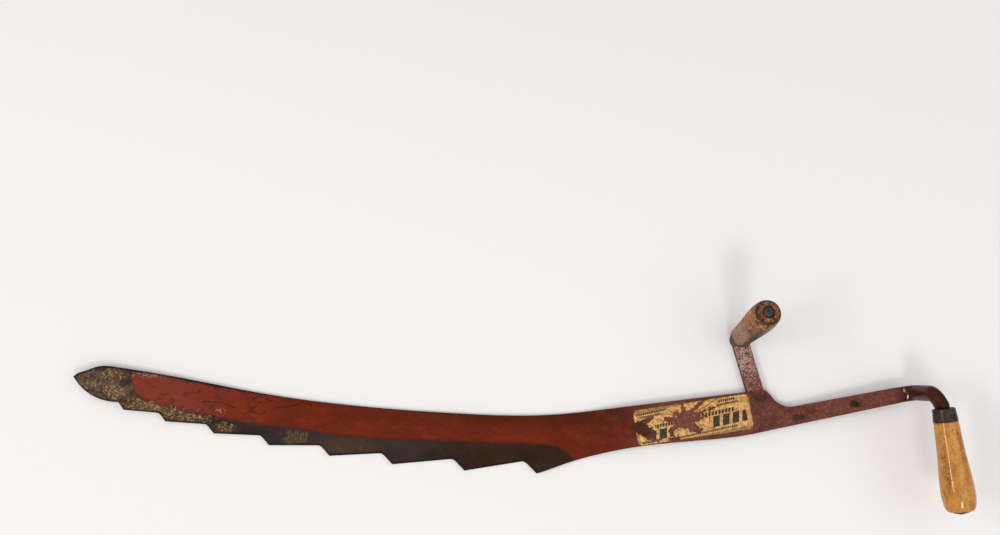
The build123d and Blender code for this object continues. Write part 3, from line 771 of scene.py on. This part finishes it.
def side_grip_surface(tint, low, long):
    """Turned hardwood: bleached at the foot, oiled and stained round the swell, black at its edges, and
    darkened by painted shade and dirt on the side turned to the bar.
    """

    def surface(tree):
        mm = local_mm(tree, SPINDLE_FOOT, frame_turn(SPINDLE_AXIS).to_euler())
        apart = add(tree, "SeparateXYZ", mm).node
        share = add(tree, "MapRange.LINEAR", apart.outputs["Z"], low, low + long)
        level = add(tree, "CombineXYZ", apart.outputs["X"], apart.outputs["Y"])
        out = add(tree, "VectorMath.LENGTH", level, out="Value")
        streaks = cloud(tree, mm, 1.3, 5.0, stretch=(1, 1, 10))
        fine = grains(tree, mm, 1.3)
        bleached = tint_over(
            tree,
            add(tree, "Mix.RGBA", add(tree, EASE, streaks, 0.35, 0.65), linear("#8B6B53"), tint.side_wood),
            (patches(tree, mm, 6, 0.34, soft=0.2, detail=7.0), 0.5, linear("#74543C")),
            (patches(tree, mm, 4, 0.3, soft=0.2, detail=6.0), 0.5, linear("#CDB59A")),
        )
        oiled = tones(tree, mm, 8, linear("#5C3820"), tint.side_wood_warm, (1, 1, 1.3), 7.0, 0.14)
        stain = patches(tree, mm, 8, 0.28, soft=0.08, detail=8.0)
        amber = spot(tree, mm, (-14.8, -2.7, 91), (9, 9, 15), 0.9, 5, 0.8)
        oiled = tint_over(
            tree,
            oiled,
            (patches(tree, mm, 9, 0.24, soft=0.14, detail=6.0), 0.6, linear("#A0602C")),
            (patches(tree, mm, 5, 0.30, soft=0.12, detail=7.0), 0.6, linear("#C7A37C")),
            (amber, 0.75, linear("#A9601C")),
            (stain, 0.8, tint.side_wood_dark),
        )
        swell = add(tree, EASE, ragged(tree, mm, share, 14, 0.8), 0.50, 0.62)
        # Painted shade, with some dirt, darkens the side turned to the bar
        reach = tuple(part / SIDE_RADIUS for part in TO_BAR)
        side = add(tree, "VectorMath.DOT_PRODUCT", mm, reach, out="Value")
        turned_side = add(tree, EASE, ragged(tree, mm, side, 5, 0.5), 0.30, 0.78)
        shade_and_dirt_side = both(tree, turned_side, add(tree, EASE, share, 0.85, 0.55))
        # Both ends have dark rims
        foot = ragged(tree, mm, add(tree, EASE, share, 0.15, 0.0), 7, 0.9)
        end_rim = both(tree, add(tree, EASE, share, 0.96, 0.985), add(tree, EASE, out, 9.8, 11.2))
        rims = either(tree, add(tree, EASE, foot, 0.25, 0.75), end_rim)
        wood = tint_over(
            tree,
            bleached,
            (swell, 1.0, oiled),
            (both(tree, add(tree, EASE, fine, 0.14, 0.04), swell), 0.7, linear("#2A1509")),
            (both(tree, add(tree, EASE, fine, 0.90, 0.98), swell), 0.6, linear("#D3A978")),
            (specks(tree, mm, 6.5, 1.1, 0.25), 0.6, tint.side_wood_dark),
            (shade_and_dirt_side, 0.85, linear("#402818")),
            (rims, 0.75, linear("#2E1D14")),
        )
        return {
            "colour": wood,
            "rough": add(tree, "Mix.FLOAT", swell, 0.72, 0.45),
            "metal": 0.0,
            "high": add(tree, "Math.MULTIPLY_ADD", streaks, 0.22, both(tree, stain, -0.1)),
        }

    return finish("weathered_turned_hardwood", surface, Specular_IOR_Level=0.15)


STAINS = (
    # middle, half sizes and strength of the brown stains, in the end grip's own millimetres
    ((-13, 3.3, 31), (5, 2.6, 10), 1.0),
    ((-12.5, 4, 44), (5, 3.4, 12), 1.0),
    ((-6, -13, 68), (5, 3.4, 16), 1.0),
    ((-5.5, -12.5, 51), (5, 2.4, 6), 1.0),
    ((10, 5, 50), (9, 4.0, 20), 1.0),
)
# Width of the dark rim at each end of the end grip, and how far past the far end it is complete
RIM_WIDE = 1.6
RIM_PAST = 0.2


def end_grip_surface(tint, low, long):
    """Turned hardwood under glossy amber varnish, with brown stains drawn along the grain."""

    def surface(tree):
        mm = local_mm(tree, END_MOUTH, frame_turn(END_AXIS).to_euler())
        z = add(tree, "SeparateXYZ", mm, out="Z")
        high = low + long
        fibre = add(tree, EASE, cloud(tree, mm, 1.1, 4.0, stretch=(1, 1, 6)), 0.42, 0.62)
        fine = grains(tree, mm, 1.2)
        wood = tones(tree, mm, 7, linear("#B26F1C"), tint.end_wood, (1, 1, 1.8), 6.0, 0.13)
        flakes = patches(tree, mm, 2.4, 0.32, soft=0.15, stretch=(1, 1, 1.4), detail=6.0)
        broken = patches(tree, mm, 2.4, 0.72, soft=0.16, stretch=(1, 1, 1.6), detail=7.0)
        crumbly = add(tree, EASE, ragged(tree, mm, fine, 5, 0.8), 0.36, 0.52)
        stains = both(tree, spots(tree, mm, STAINS, 1.6, 5, 1.0), broken, crumbly)
        marks = either(tree, stains, patches(tree, mm, 4.5, 0.10, soft=0.1, stretch=(1, 1, 2.2), detail=6.0))
        rim = either(
            tree,
            add(tree, EASE, z, low + RIM_WIDE, low),
            add(tree, EASE, z, high - RIM_WIDE, high + RIM_PAST),
        )
        wood = tint_over(
            tree,
            wood,
            (fibre, 0.3, linear("#D9A45C")),
            (flakes, 0.4, linear("#9A5815")),
            (marks, 0.8, tint.end_wood_dark),
            (add(tree, EASE, fine, 0.08, 0.02), 0.4, linear("#7A4212")),
            (add(tree, EASE, fine, 0.90, 0.98), 0.25, linear("#EBBE7C")),
            (specks(tree, mm, 6, 1.0, 0.3), 0.85, linear("#4A210B")),
            (rim, 0.6, linear("#4A2A12")),
        )
        return {
            "colour": wood,
            "rough": add(tree, "Mix.FLOAT", marks, 0.35, 0.45),
            "metal": 0.0,
            "high": both(tree, cloud(tree, mm, 2.6, 5.0, stretch=(1, 1, 1.6)), 0.42),
        }

    gloss = {"Specular_IOR_Level": 0.0, "Coat_Weight": 0.9, "Coat_Roughness": 0.08}
    return finish("varnished_turned_hardwood", surface, **gloss)


RAYS = (
    # as SCRATCHES: the scratches that run out of the label's torn middle
    (2, 33, 6, 0.38, 0.4, 3.0, 0.55),
    (6, 42, 5, 0.16, 0.5, 4.0, 0.5),
    (2, 24, 9, 0.55, 0.3, 3.0, 0.45),
    (10, 40, 2, 0.02, 0.5, 5.0, 0.35),
    (-37, -10, 14, -0.25, 0.5, 4.0, 0.5),
    (-30, -8, 18, -0.5, 0.4, 3.0, 0.4),
    (-32, -10, 5, 0.05, 0.5, 3.0, 0.4),
    (3, 22, -6, -0.4, 0.4, 3.0, 0.45),
    (-26, -8, -12, 0.55, 0.4, 3.0, 0.4),
)
PRINT_ROWS = (
    # from, to, height of the row, half its thickness, pitch of its bars, share of ink, in millimetres
    (-46, -24, -7.8, 5.2, 11.6, 0.7),
    (17, 58, -6.6, 5.8, 10.8, 0.68),
    (-42, -16, 1.2, 1.8, 3.1, 0.72),
    (2, 47, 2.4, 2.1, 3.7, 0.72),
    (-60, -28, 17.0, 1.2, 2.1, 0.76),
    (-56, -34, 13.4, 1.1, 1.9, 0.76),
    (30, 49, 13.6, 1.4, 2.3, 0.78),
    (28, 52, 9.8, 1.1, 1.9, 0.76),
    (-28, 46, -15.6, 1.1, 2.1, 0.76),
    (-60, -38, -13.4, 1.2, 2.0, 0.76),
)


# The print rises a little to the right and its bars lean; rows count from a place left of the label
PRINT_RISE = radians(3.4)
PRINT_LEAN = -0.25
PRINT_START = -200


def print_row(tree, along, across, start, end, level, half, pitch, ink):
    """One row of plain bars between two places of the label."""
    lean = add(tree, "Math.MULTIPLY_ADD", across, PRINT_LEAN, along)
    count = add(tree, "Math.DIVIDE", add(tree, "Math.SUBTRACT", lean, start + PRINT_START), pitch)
    height = add(tree, "Math.ABSOLUTE", add(tree, "Math.SUBTRACT", across, level))
    from_middle = add(tree, "Math.ABSOLUTE", add(tree, "Math.SUBTRACT", along, (start + end) / 2))
    return both(
        tree,
        add(tree, "Math.LESS_THAN", add(tree, "Math.FRACT", count), ink),
        add(tree, "Math.LESS_THAN", height, half),
        add(tree, "Math.LESS_THAN", from_middle, (end - start) / 2),
    )


def label_surface(tint, long, wide):
    """Aged varnished paper with plain printed bars, its torn middle scratched out to the sides."""

    def surface(tree):
        uv = add(tree, "TexCoord", out="UV")
        mm = add(tree, "VectorMath.MULTIPLY_ADD", uv, (long, wide, 1), (-long / 2, -wide / 2, 0))
        level = add(tree, "Mapping", mm, named={"Rotation": (0, 0, -PRINT_RISE)})
        apart = add(tree, "SeparateXYZ", level).node
        along, across = apart.outputs["X"], apart.outputs["Y"]
        rows = either(tree, *[print_row(tree, along, across, *row) for row in PRINT_ROWS])
        printed = both(tree, rows, patches(tree, mm, 2.2, 0.92, soft=0.16, detail=5.0))
        strokes = either(tree, *[stroke(tree, along, across, *ray) for ray in RAYS])
        rays = both(tree, strokes, patches(tree, mm, 2.6, 0.85, soft=0.2))
        fine = grains(tree, mm, 1.3)
        paper = tones(tree, mm, 5, linear("#C6914E"), tint.paper, detail=6.0, spread=0.12)
        brown = patches(tree, mm, 3.5, 0.42, soft=0.16, detail=7.0)
        end = add(tree, EASE, add(tree, "Math.ABSOLUTE", along), long / 2 - 2.5, long / 2 - 0.5)
        side = add(tree, EASE, add(tree, "Math.ABSOLUTE", across), wide / 2 - 2.2, wide / 2 - 0.2)
        paper = tint_over(
            tree,
            paper,
            (brown, 0.55, tint.paper_dark),
            (add(tree, EASE, fine, 0.14, 0.03), 0.6, linear("#6E3F1D")),
            (add(tree, EASE, fine, 0.88, 0.98), 0.5, linear("#F2D297")),
            (either(tree, end, side), 0.6, linear("#6E4220")),
            (printed, 0.95, tint.ink),
            (rays, 0.85, linear("#7E3A26")),
        )
        return {
            "colour": paper,
            "rough": 0.5,
            "metal": 0.0,
            "high": add(tree, "Math.MULTIPLY_ADD", rays, -0.1, both(tree, cloud(tree, mm, 2.5), 0.06)),
        }

    return finish("aged_varnished_paper", surface, Specular_IOR_Level=0.3)


def alone(piece):
    """Select one object and nothing else, and make it active."""
    bpy.ops.object.select_all(action="DESELECT")
    piece.select_set(True)
    bpy.context.view_layer.objects.active = piece


def settle(piece, name, material, body, slot, *nodes):
    """Name a finished piece, give it its finish, and hang it on its body in place of CAD nodes."""
    piece.name = name
    piece.data.name = name
    piece.data.materials.clear()
    piece.data.materials.append(material)
    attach(piece, body)
    if nodes:
        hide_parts(*nodes)
    return piece


# Merging gaps, and the angles past which an edge is kept, worn round or shown sharp
CAD_GAP = 0.01 * MM
TURNED_GAP = 0.001 * MM
FLAT_ANGLE = radians(0.5)
WORN_ANGLE = radians(40)
SHARP_ANGLE = radians(35)
TURNED_SHARP_ANGLE = radians(38)


def rounded_copy(node, edge):
    """A merged copy of a CAD node, with its sharp edges worn round."""
    alone(frame["nodes"][node])
    bpy.ops.object.duplicate()
    piece = bpy.context.object
    piece.parent = None
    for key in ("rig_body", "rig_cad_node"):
        del piece[key]
    bpy.ops.object.mode_set(mode="EDIT")
    bpy.ops.mesh.select_all(action="SELECT")
    bpy.ops.mesh.remove_doubles(threshold=CAD_GAP)
    bpy.ops.mesh.dissolve_limited(angle_limit=FLAT_ANGLE)
    bpy.ops.object.mode_set(mode="OBJECT")
    wear = piece.modifiers.new("worn edges", "BEVEL")
    wear.width = edge
    wear.segments = 2
    wear.limit_method = "ANGLE"
    wear.angle_limit = WORN_ANGLE
    bpy.ops.object.modifier_apply(modifier=wear.name)
    bpy.ops.object.shade_smooth_by_angle(angle=SHARP_ANGLE)
    return piece


def turned(name, outline, foot, axis, steps):
    """A solid of revolution: an outline of radius and height, spun and set on an axis."""
    bpy.ops.object.select_all(action="DESELECT")
    bpy.ops.mesh.primitive_plane_add(size=MM, location=(0, 0, 0))
    piece = bpy.context.object
    bpy.ops.object.mode_set(mode="EDIT")
    bpy.ops.mesh.select_all(action="SELECT")
    bpy.ops.mesh.merge(type="CENTER")
    bpy.ops.transform.translate(value=(outline[0][0], 0, outline[0][1]))
    for (r0, z0), (r1, z1) in zip(outline, outline[1:] + outline[:1]):
        bpy.ops.mesh.extrude_vertices_move(TRANSFORM_OT_translate={"value": (r1 - r0, 0, z1 - z0)})
    bpy.ops.mesh.select_all(action="SELECT")
    bpy.ops.mesh.remove_doubles(threshold=TURNED_GAP)
    bpy.ops.mesh.select_all(action="SELECT")
    bpy.ops.mesh.spin(steps=steps, angle=2 * pi, center=(0, 0, 0), axis=(0, 0, 1))
    bpy.ops.mesh.select_all(action="SELECT")
    bpy.ops.mesh.remove_doubles(threshold=TURNED_GAP)
    bpy.ops.mesh.normals_make_consistent(inside=False)
    bpy.ops.object.mode_set(mode="OBJECT")
    piece.matrix_world = Matrix.Translation(foot) @ frame_turn(axis).to_4x4()
    alone(piece)
    bpy.ops.object.transform_apply(location=True, rotation=True, scale=True)
    bpy.ops.object.shade_smooth_by_angle(angle=TURNED_SHARP_ANGLE)
    piece.name = name
    return piece


# A grip's waist, swell and shoulder as shares of its length, and the steps of its two curves
WAIST_SHARE = 0.3
SWELL_SHARE = 0.8
SHOULDER_SHARE = 0.93
TAPER_STEPS = 18
ROUND_STEPS = 12
# The power that keeps the round over the end face full until close to the face
ROUND_POWER = 12
# The small round at a grip's foot, in from its radius and up from its foot, in millimetres
FOOT_ROUND = ((-0.8, 0), (-0.2, 0.3), (0, 1.0))


def grip_outline(low, long, foot, waist, swell, shoulder, face):
    """The turned outside of a grip from its foot to its end face, as radius and height."""
    line = [(foot / 2 + out * MM, low + up * MM) for out, up in FOOT_ROUND]
    run = SWELL_SHARE - WAIST_SHARE
    slope = (waist - foot) * run / WAIST_SHARE
    for i in range(1, TAPER_STEPS + 1):
        t = i / TAPER_STEPS * SWELL_SHARE
        if t <= WAIST_SHARE:
            wide = foot + (waist - foot) * (t / WAIST_SHARE)
        else:
            s = (t - WAIST_SHARE) / run
            wide = waist + slope * s * (1 - s) ** 2 + (swell - waist) * (3 * s * s - 2 * s**3)
        line.append((wide / 2, low + t * long))
    # From the swell an arc falls to the shoulder and on round to the end face
    half_way = ((SHOULDER_SHARE - SWELL_SHARE) / (1 - SWELL_SHARE)) ** 2
    fall = (swell - shoulder) / half_way
    for i in range(1, ROUND_STEPS + 1):
        s = sin(i / ROUND_STEPS * pi / 2)
        wide = swell - fall * s**2 - (swell - face - fall) * s**ROUND_POWER
        line.append((wide / 2, low + (SWELL_SHARE + (1 - SWELL_SHARE) * s) * long))
    return line


# Turned groove in the side grip's end face, and the worn rim of its sinking
GROOVE_RADIUS = 9.2 * MM
GROOVE_DEEP = 0.5 * MM
SINKING_RIM = 0.4 * MM
# The end grip's bore on its tang, its gap inside the ferrule, and how far it stops short of the mouth
TANG_BORE_RADIUS = 4.55 * MM
FERRULE_GAP = 0.05 * MM
MOUTH_RECESS = 0.6 * MM
SPIGOT_CHAMFER = 0.5 * MM


def side_grip_outline(s):
    """The side grip with its bore, its sinking and a turned groove in its end face."""
    top = s.side_low + s.side_long
    deep = top - s.side_sinking_deep
    bore, sinking = s.side_bore / 2, s.side_sinking / 2
    return [
        *grip_outline(
            s.side_low, s.side_long, s.side_foot, s.side_waist, s.side_swell, s.side_shoulder, s.side_face
        ),
        (GROOVE_RADIUS + GROOVE_DEEP, top),
        (GROOVE_RADIUS, top - GROOVE_DEEP),
        (GROOVE_RADIUS - GROOVE_DEEP, top),
        (sinking + SINKING_RIM, top),
        (sinking, top - SINKING_RIM),
        (sinking, deep),
        (bore, deep),
        (bore, s.side_low),
    ]


def end_grip_outline(s):
    """The end grip, closed inside the ferrule and round the tang."""
    top = s.end_low + s.end_long
    wall = s.ferrule_wall + FERRULE_GAP
    inner, mouth = s.ferrule_foot / 2 - wall, s.ferrule_mouth / 2 - wall
    return [
        *grip_outline(
            s.end_low, s.end_long, s.end_foot, s.end_waist, s.end_swell, s.end_shoulder, s.end_face
        ),
        (TANG_BORE_RADIUS, top),
        (TANG_BORE_RADIUS, MOUTH_RECESS),
        (mouth - SPIGOT_CHAMFER, MOUTH_RECESS),
        (mouth, MOUTH_RECESS + SPIGOT_CHAMFER),
        (inner, s.end_low),
    ]


def dent(piece, size, deep):
    """Small hand-made unevenness over a whole piece."""
    lumps = bpy.data.textures.new(piece.name + "_dents", "CLOUDS")
    lumps.noise_scale = size
    lumps.noise_depth = 2
    push = piece.modifiers.new("dents", "DISPLACE")
    push.texture = lumps
    push.texture_coords = "GLOBAL"
    push.strength = deep
    push.mid_level = 0.5
    alone(piece)
    bpy.ops.object.modifier_apply(modifier=push.name)


TEARS = (
    # from, to, half widths there: where the paper is gone, in the label's own millimetres
    ((-12, 4), (-4, 3), 7.2, 7.2),
    ((-13, 2), (-34, 5), 4.6, 1.0),
    ((-14, -2), (-27, -9), 3.8, 1.4),
    ((-8, -3), (5, -12), 5.8, 2.6),
    ((-5, 6), (17, 20), 3.2, 0.4),
    ((-4, 4), (25, 10), 2.8, 0.3),
    ((-8, 8), (-10, 19), 4.0, 0.8),
    ((0, 0), (14, 1), 3.0, 0.6),
    ((-14, 7), (-24, 13), 2.5, 0.4),
    ((-57, -1), (-50, -8), 7.0, 6.0),
    ((-66, 3), (-56, 3), 2.4, 4.0),
    ((-52, 6), (-44, 8), 3.0, 1.2),
    ((-26, -18), (-17, -17), 2.5, 2.0),
    ((-50, -12), (-43, -16), 2.4, 1.0),
)
# Size and reach in millimetres of the nibbles in the label's rim and of the tears' ragged edges
NIBBLE_SIZE, NIBBLE_REACH = 2.6, 0.35
TEAR_SIZE, TEAR_REACH = 3.6, 3.0
RIM_GAP = 0.1


def torn_away(x, y, s):
    """Whether the paper is missing at a place of the label, in metres from its middle."""
    half_x, half_y, corner = s.label_long / 2, s.label_wide / 2, s.label_round
    over = (abs(x) - half_x + corner, abs(y) - half_y + corner)
    rim = hypot(max(over[0], 0), max(over[1], 0)) + min(max(over), 0) - corner
    nibble = noise.fractal(Vector((x, y, 0.3)) / (NIBBLE_SIZE * MM), 0.8, 2.0, 3) * NIBBLE_REACH * MM
    if rim + nibble > -RIM_GAP * MM:
        return True
    drift = noise.fractal(Vector((x, y, 0)) / (TEAR_SIZE * MM), 0.9, 2.0, 5) * TEAR_REACH
    for (ax, ay), (bx, by), wide_a, wide_b in TEARS:
        px, py = x / MM - ax, y / MM - ay
        dx, dy = bx - ax, by - ay
        t = min(1, max(0, (px * dx + py * dy) / (dx * dx + dy * dy)))
        if hypot(px - dx * t, py - dy * t) + drift < wide_a + (wide_b - wide_a) * t:
            return True
    return False


# Size and depth of the ferrule's dents, the round at its rims, and the cells that the label is cut in
DENT_SIZE = 8 * MM
DENT_DEEP = 0.25 * MM
FERRULE_RIM = 0.35 * MM
LABEL_CELL = 0.5 * MM


def sizes():
    """The sizes that the user has set."""
    return bpy.context.scene.hay_knife_sizes


def tints():
    """The colours that the user has set."""
    return bpy.context.scene.hay_knife_colours


class HAYKNIFE_OT_blade(bpy.types.Operator):
    """Dress the toothed blade"""

    bl_idname = "hay_knife.blade"
    bl_label = "Blade"

    def execute(self, context):
        piece = rounded_copy("blade", sizes().worn_edge * 0.5)
        settle(piece, "toothed_blade", blade_surface(tints()), "knife", "blade_paint", "blade")
        return {"FINISHED"}


class HAYKNIFE_OT_shank(bpy.types.Operator):
    """Dress the forged shank, its bar and its crank"""

    bl_idname = "hay_knife.shank"
    bl_label = "Shank"

    def execute(self, context):
        piece = rounded_copy("shank", sizes().worn_edge)
        settle(piece, "forged_shank", shank_surface(tints()), "knife", "shank_paint", "shank")
        return {"FINISHED"}


class HAYKNIFE_OT_side_arm(bpy.types.Operator):
    """Dress the side arm and its spindle"""

    bl_idname = "hay_knife.side_arm"
    bl_label = "Side arm"

    def execute(self, context):
        piece = rounded_copy("side_arm", sizes().worn_edge)
        settle(piece, "forged_side_arm", arm_surface(tints()), "knife", "arm_paint", "side_arm")
        return {"FINISHED"}


class HAYKNIFE_OT_hardware(bpy.types.Operator):
    """Turn the ferrule, and dress it, the burrs, the washer and the rivets"""

    bl_idname = "hay_knife.hardware"
    bl_label = "Ferrule, burrs and rivets"

    def execute(self, context):
        steel = hardware_surface(tints())
        s = sizes()
        low, high = s.ferrule_mouth / 2, s.ferrule_foot / 2
        outline = [
            (low - s.ferrule_wall, 0),
            (low - FERRULE_RIM, 0),
            (low, FERRULE_RIM),
            (high, s.end_low - FERRULE_RIM),
            (high - FERRULE_RIM, s.end_low),
            (high - s.ferrule_wall, s.end_low),
        ]
        piece = turned("ferrule", outline, END_MOUTH, END_AXIS, s.turned_steps)
        dent(piece, DENT_SIZE, DENT_DEEP)
        settle(piece, "ferrule", steel, "knife", "dark_steel", "end_ferrule")
        painted = bpy.data.materials["worn_paint_on_forged_iron"]
        for node in ("blade_rivets", "side_washer", "side_burr", "end_burr", "arm_rivet"):
            shown = frame["nodes"][node]
            shown.data.materials.clear()
            shown.data.materials.append(painted if "rivet" in node else steel)
        return {"FINISHED"}


class HAYKNIFE_OT_label(bpy.types.Operator):
    """Cut and tear the paper label"""

    bl_idname = "hay_knife.label"
    bl_label = "Label"

    def execute(self, context):
        s = sizes()
        across, up = round(s.label_long / LABEL_CELL), round(s.label_wide / LABEL_CELL)
        bpy.ops.object.select_all(action="DESELECT")
        bpy.ops.mesh.primitive_grid_add(x_subdivisions=across, y_subdivisions=up, size=1)
        piece = bpy.context.object
        piece.scale = (s.label_long, s.label_wide, 1)
        bpy.ops.object.transform_apply(location=True, rotation=True, scale=True)
        bpy.ops.object.mode_set(mode="EDIT")
        bpy.ops.mesh.select_mode(type="FACE")
        bpy.ops.mesh.select_all(action="DESELECT")
        bpy.ops.object.mode_set(mode="OBJECT")
        for face in piece.data.polygons:
            face.select = torn_away(face.center.x, face.center.y, s)
        bpy.ops.object.mode_set(mode="EDIT")
        bpy.ops.mesh.delete(type="FACE")
        bpy.ops.mesh.select_mode(type="VERT")
        bpy.ops.mesh.select_all(action="DESELECT")
        bpy.ops.mesh.select_non_manifold()
        bpy.ops.mesh.vertices_smooth(factor=0.5, repeat=3)
        bpy.ops.object.mode_set(mode="OBJECT")
        piece.location = LABEL_CENTRE
        piece.rotation_euler = (0, 0, LABEL_TURN)
        bpy.ops.object.transform_apply(location=True, rotation=True, scale=True)
        thick = piece.modifiers.new("paper", "SOLIDIFY")
        thick.thickness = s.label_thick
        thick.offset = 1
        bpy.ops.object.modifier_apply(modifier=thick.name)
        material = label_surface(tints(), s.label_long / MM, s.label_wide / MM)
        settle(piece, "paper_label", material, "knife", "label_paper", "label")
        return {"FINISHED"}


class HAYKNIFE_OT_grips(bpy.types.Operator):
    """Turn the side grip and the end grip"""

    bl_idname = "hay_knife.grips"
    bl_label = "Grips"

    def execute(self, context):
        s = sizes()
        piece = turned("side_grip_wood", side_grip_outline(s), SPINDLE_FOOT, SPINDLE_AXIS, s.turned_steps)
        material = side_grip_surface(tints(), s.side_low / MM, s.side_long / MM)
        settle(piece, "side_grip_wood", material, "side_grip", "side_wood", "side_grip")
        piece = turned("end_grip_wood", end_grip_outline(s), END_MOUTH, END_AXIS, s.turned_steps)
        material = end_grip_surface(tints(), s.end_low / MM, s.end_long / MM)
        settle(piece, "end_grip_wood", material, "knife", "end_wood", "end_grip")
        return {"FINISHED"}


TABLE_WIDE = 12
TABLE_DROP = 0.2 * MM
ROOM_LIGHT = 0.57
LAMP_AIM = Vector((-0.15, 0, 0))
LAMPS = (
    # name, degrees round from +X and up from the table, metres away, long, wide, watts
    ("streak", 181.7, 50.7, 2.13, 1.2, 0.28, 10.5),
    ("front", 286, 58, 2.3, 0.5, 0.5, 9),
    ("right", 0, 53.8, 1.61, 1.2, 1.2, 3.5),
)
CAMERA_PLACE = (-0.16003, 0.03277, 1.135)
CAMERA_TILT = radians(7.3)
CAMERA_LENS = 37.08
CAMERA_SENSOR = 36


class HAYKNIFE_OT_stage(bpy.types.Operator):
    """Set up the pale table, the soft lamps and the photograph's camera"""

    bl_idname = "hay_knife.stage"
    bl_label = "Stage"

    def execute(self, context):
        bpy.ops.object.select_all(action="DESELECT")
        bpy.ops.mesh.primitive_plane_add(size=TABLE_WIDE, location=(0, 0, -TABLE_DROP))
        floor = bpy.context.object
        floor.name = "table"
        paper = bpy.data.materials.new("white_table_paper")
        paper.use_nodes = True
        shader = paper.node_tree.nodes["Principled BSDF"]
        shader.inputs["Base Color"].default_value = (*linear("#F8F5F4"), 1)
        shader.inputs["Roughness"].default_value = 0.9
        shader.inputs["Specular IOR Level"].default_value = 0.1
        floor.data.materials.append(paper)
        world = bpy.data.worlds.new("pale_room")
        world.use_nodes = True
        background = world.node_tree.nodes["Background"].inputs
        background["Color"].default_value = (1, 1, 1, 1)
        background["Strength"].default_value = ROOM_LIGHT
        context.scene.world = world
        for name, azimuth, elevation, away, long, wide, power in LAMPS:
            a, e = radians(azimuth), radians(elevation)
            lamp = bpy.data.lights.new(name, "AREA")
            lamp.shape = "RECTANGLE"
            lamp.size, lamp.size_y, lamp.energy = long, wide, power
            holder = bpy.data.objects.new(name, lamp)
            holder.location = LAMP_AIM + Vector((cos(a) * cos(e), sin(a) * cos(e), sin(e))) * away
            holder.rotation_euler = (holder.location - LAMP_AIM).to_track_quat("Z", "Y").to_euler()
            context.scene.collection.objects.link(holder)
        camera = bpy.data.cameras.new("camera")
        camera.lens = CAMERA_LENS
        camera.sensor_width = CAMERA_SENSOR
        camera.dof.use_dof = False
        eye = bpy.data.objects.new("camera", camera)
        eye.location = CAMERA_PLACE
        eye.rotation_euler = (CAMERA_TILT, 0, 0)
        context.scene.collection.objects.link(eye)
        context.scene.camera = eye
        context.scene.view_settings.view_transform = "Standard"
        return {"FINISHED"}


class HAYKNIFE_PT_panel(bpy.types.Panel):
    """Lists the knife's pieces"""

    bl_label = "Hay knife"
    bl_idname = "HAYKNIFE_PT_panel"
    bl_space_type = "VIEW_3D"
    bl_region_type = "UI"
    bl_category = "Hay knife"

    def draw(self, context):
        for operator in OPERATORS:
            self.layout.operator(operator.bl_idname)
        for group in (context.scene.hay_knife_sizes, context.scene.hay_knife_colours):
            column = self.layout.column(align=True)
            for name in group.__annotations__:
                column.prop(group, name)


OPERATORS = (
    HAYKNIFE_OT_blade,
    HAYKNIFE_OT_shank,
    HAYKNIFE_OT_side_arm,
    HAYKNIFE_OT_hardware,
    HAYKNIFE_OT_label,
    HAYKNIFE_OT_grips,
    HAYKNIFE_OT_stage,
)
CLASSES = (HayKnifeSizes, HayKnifeColours, *OPERATORS, HAYKNIFE_PT_panel)


def register():
    for item in CLASSES:
        bpy.utils.register_class(item)
    bpy.types.Scene.hay_knife_sizes = PointerProperty(type=HayKnifeSizes)
    bpy.types.Scene.hay_knife_colours = PointerProperty(type=HayKnifeColours)


def unregister():
    del bpy.types.Scene.hay_knife_colours
    del bpy.types.Scene.hay_knife_sizes
    for item in reversed(CLASSES):
        bpy.utils.unregister_class(item)


def main():
    register()
    for operator in OPERATORS:
        group, name = operator.bl_idname.split(".")
        getattr(getattr(bpy.ops, group), name)()


if __name__ == "__main__":
    main()
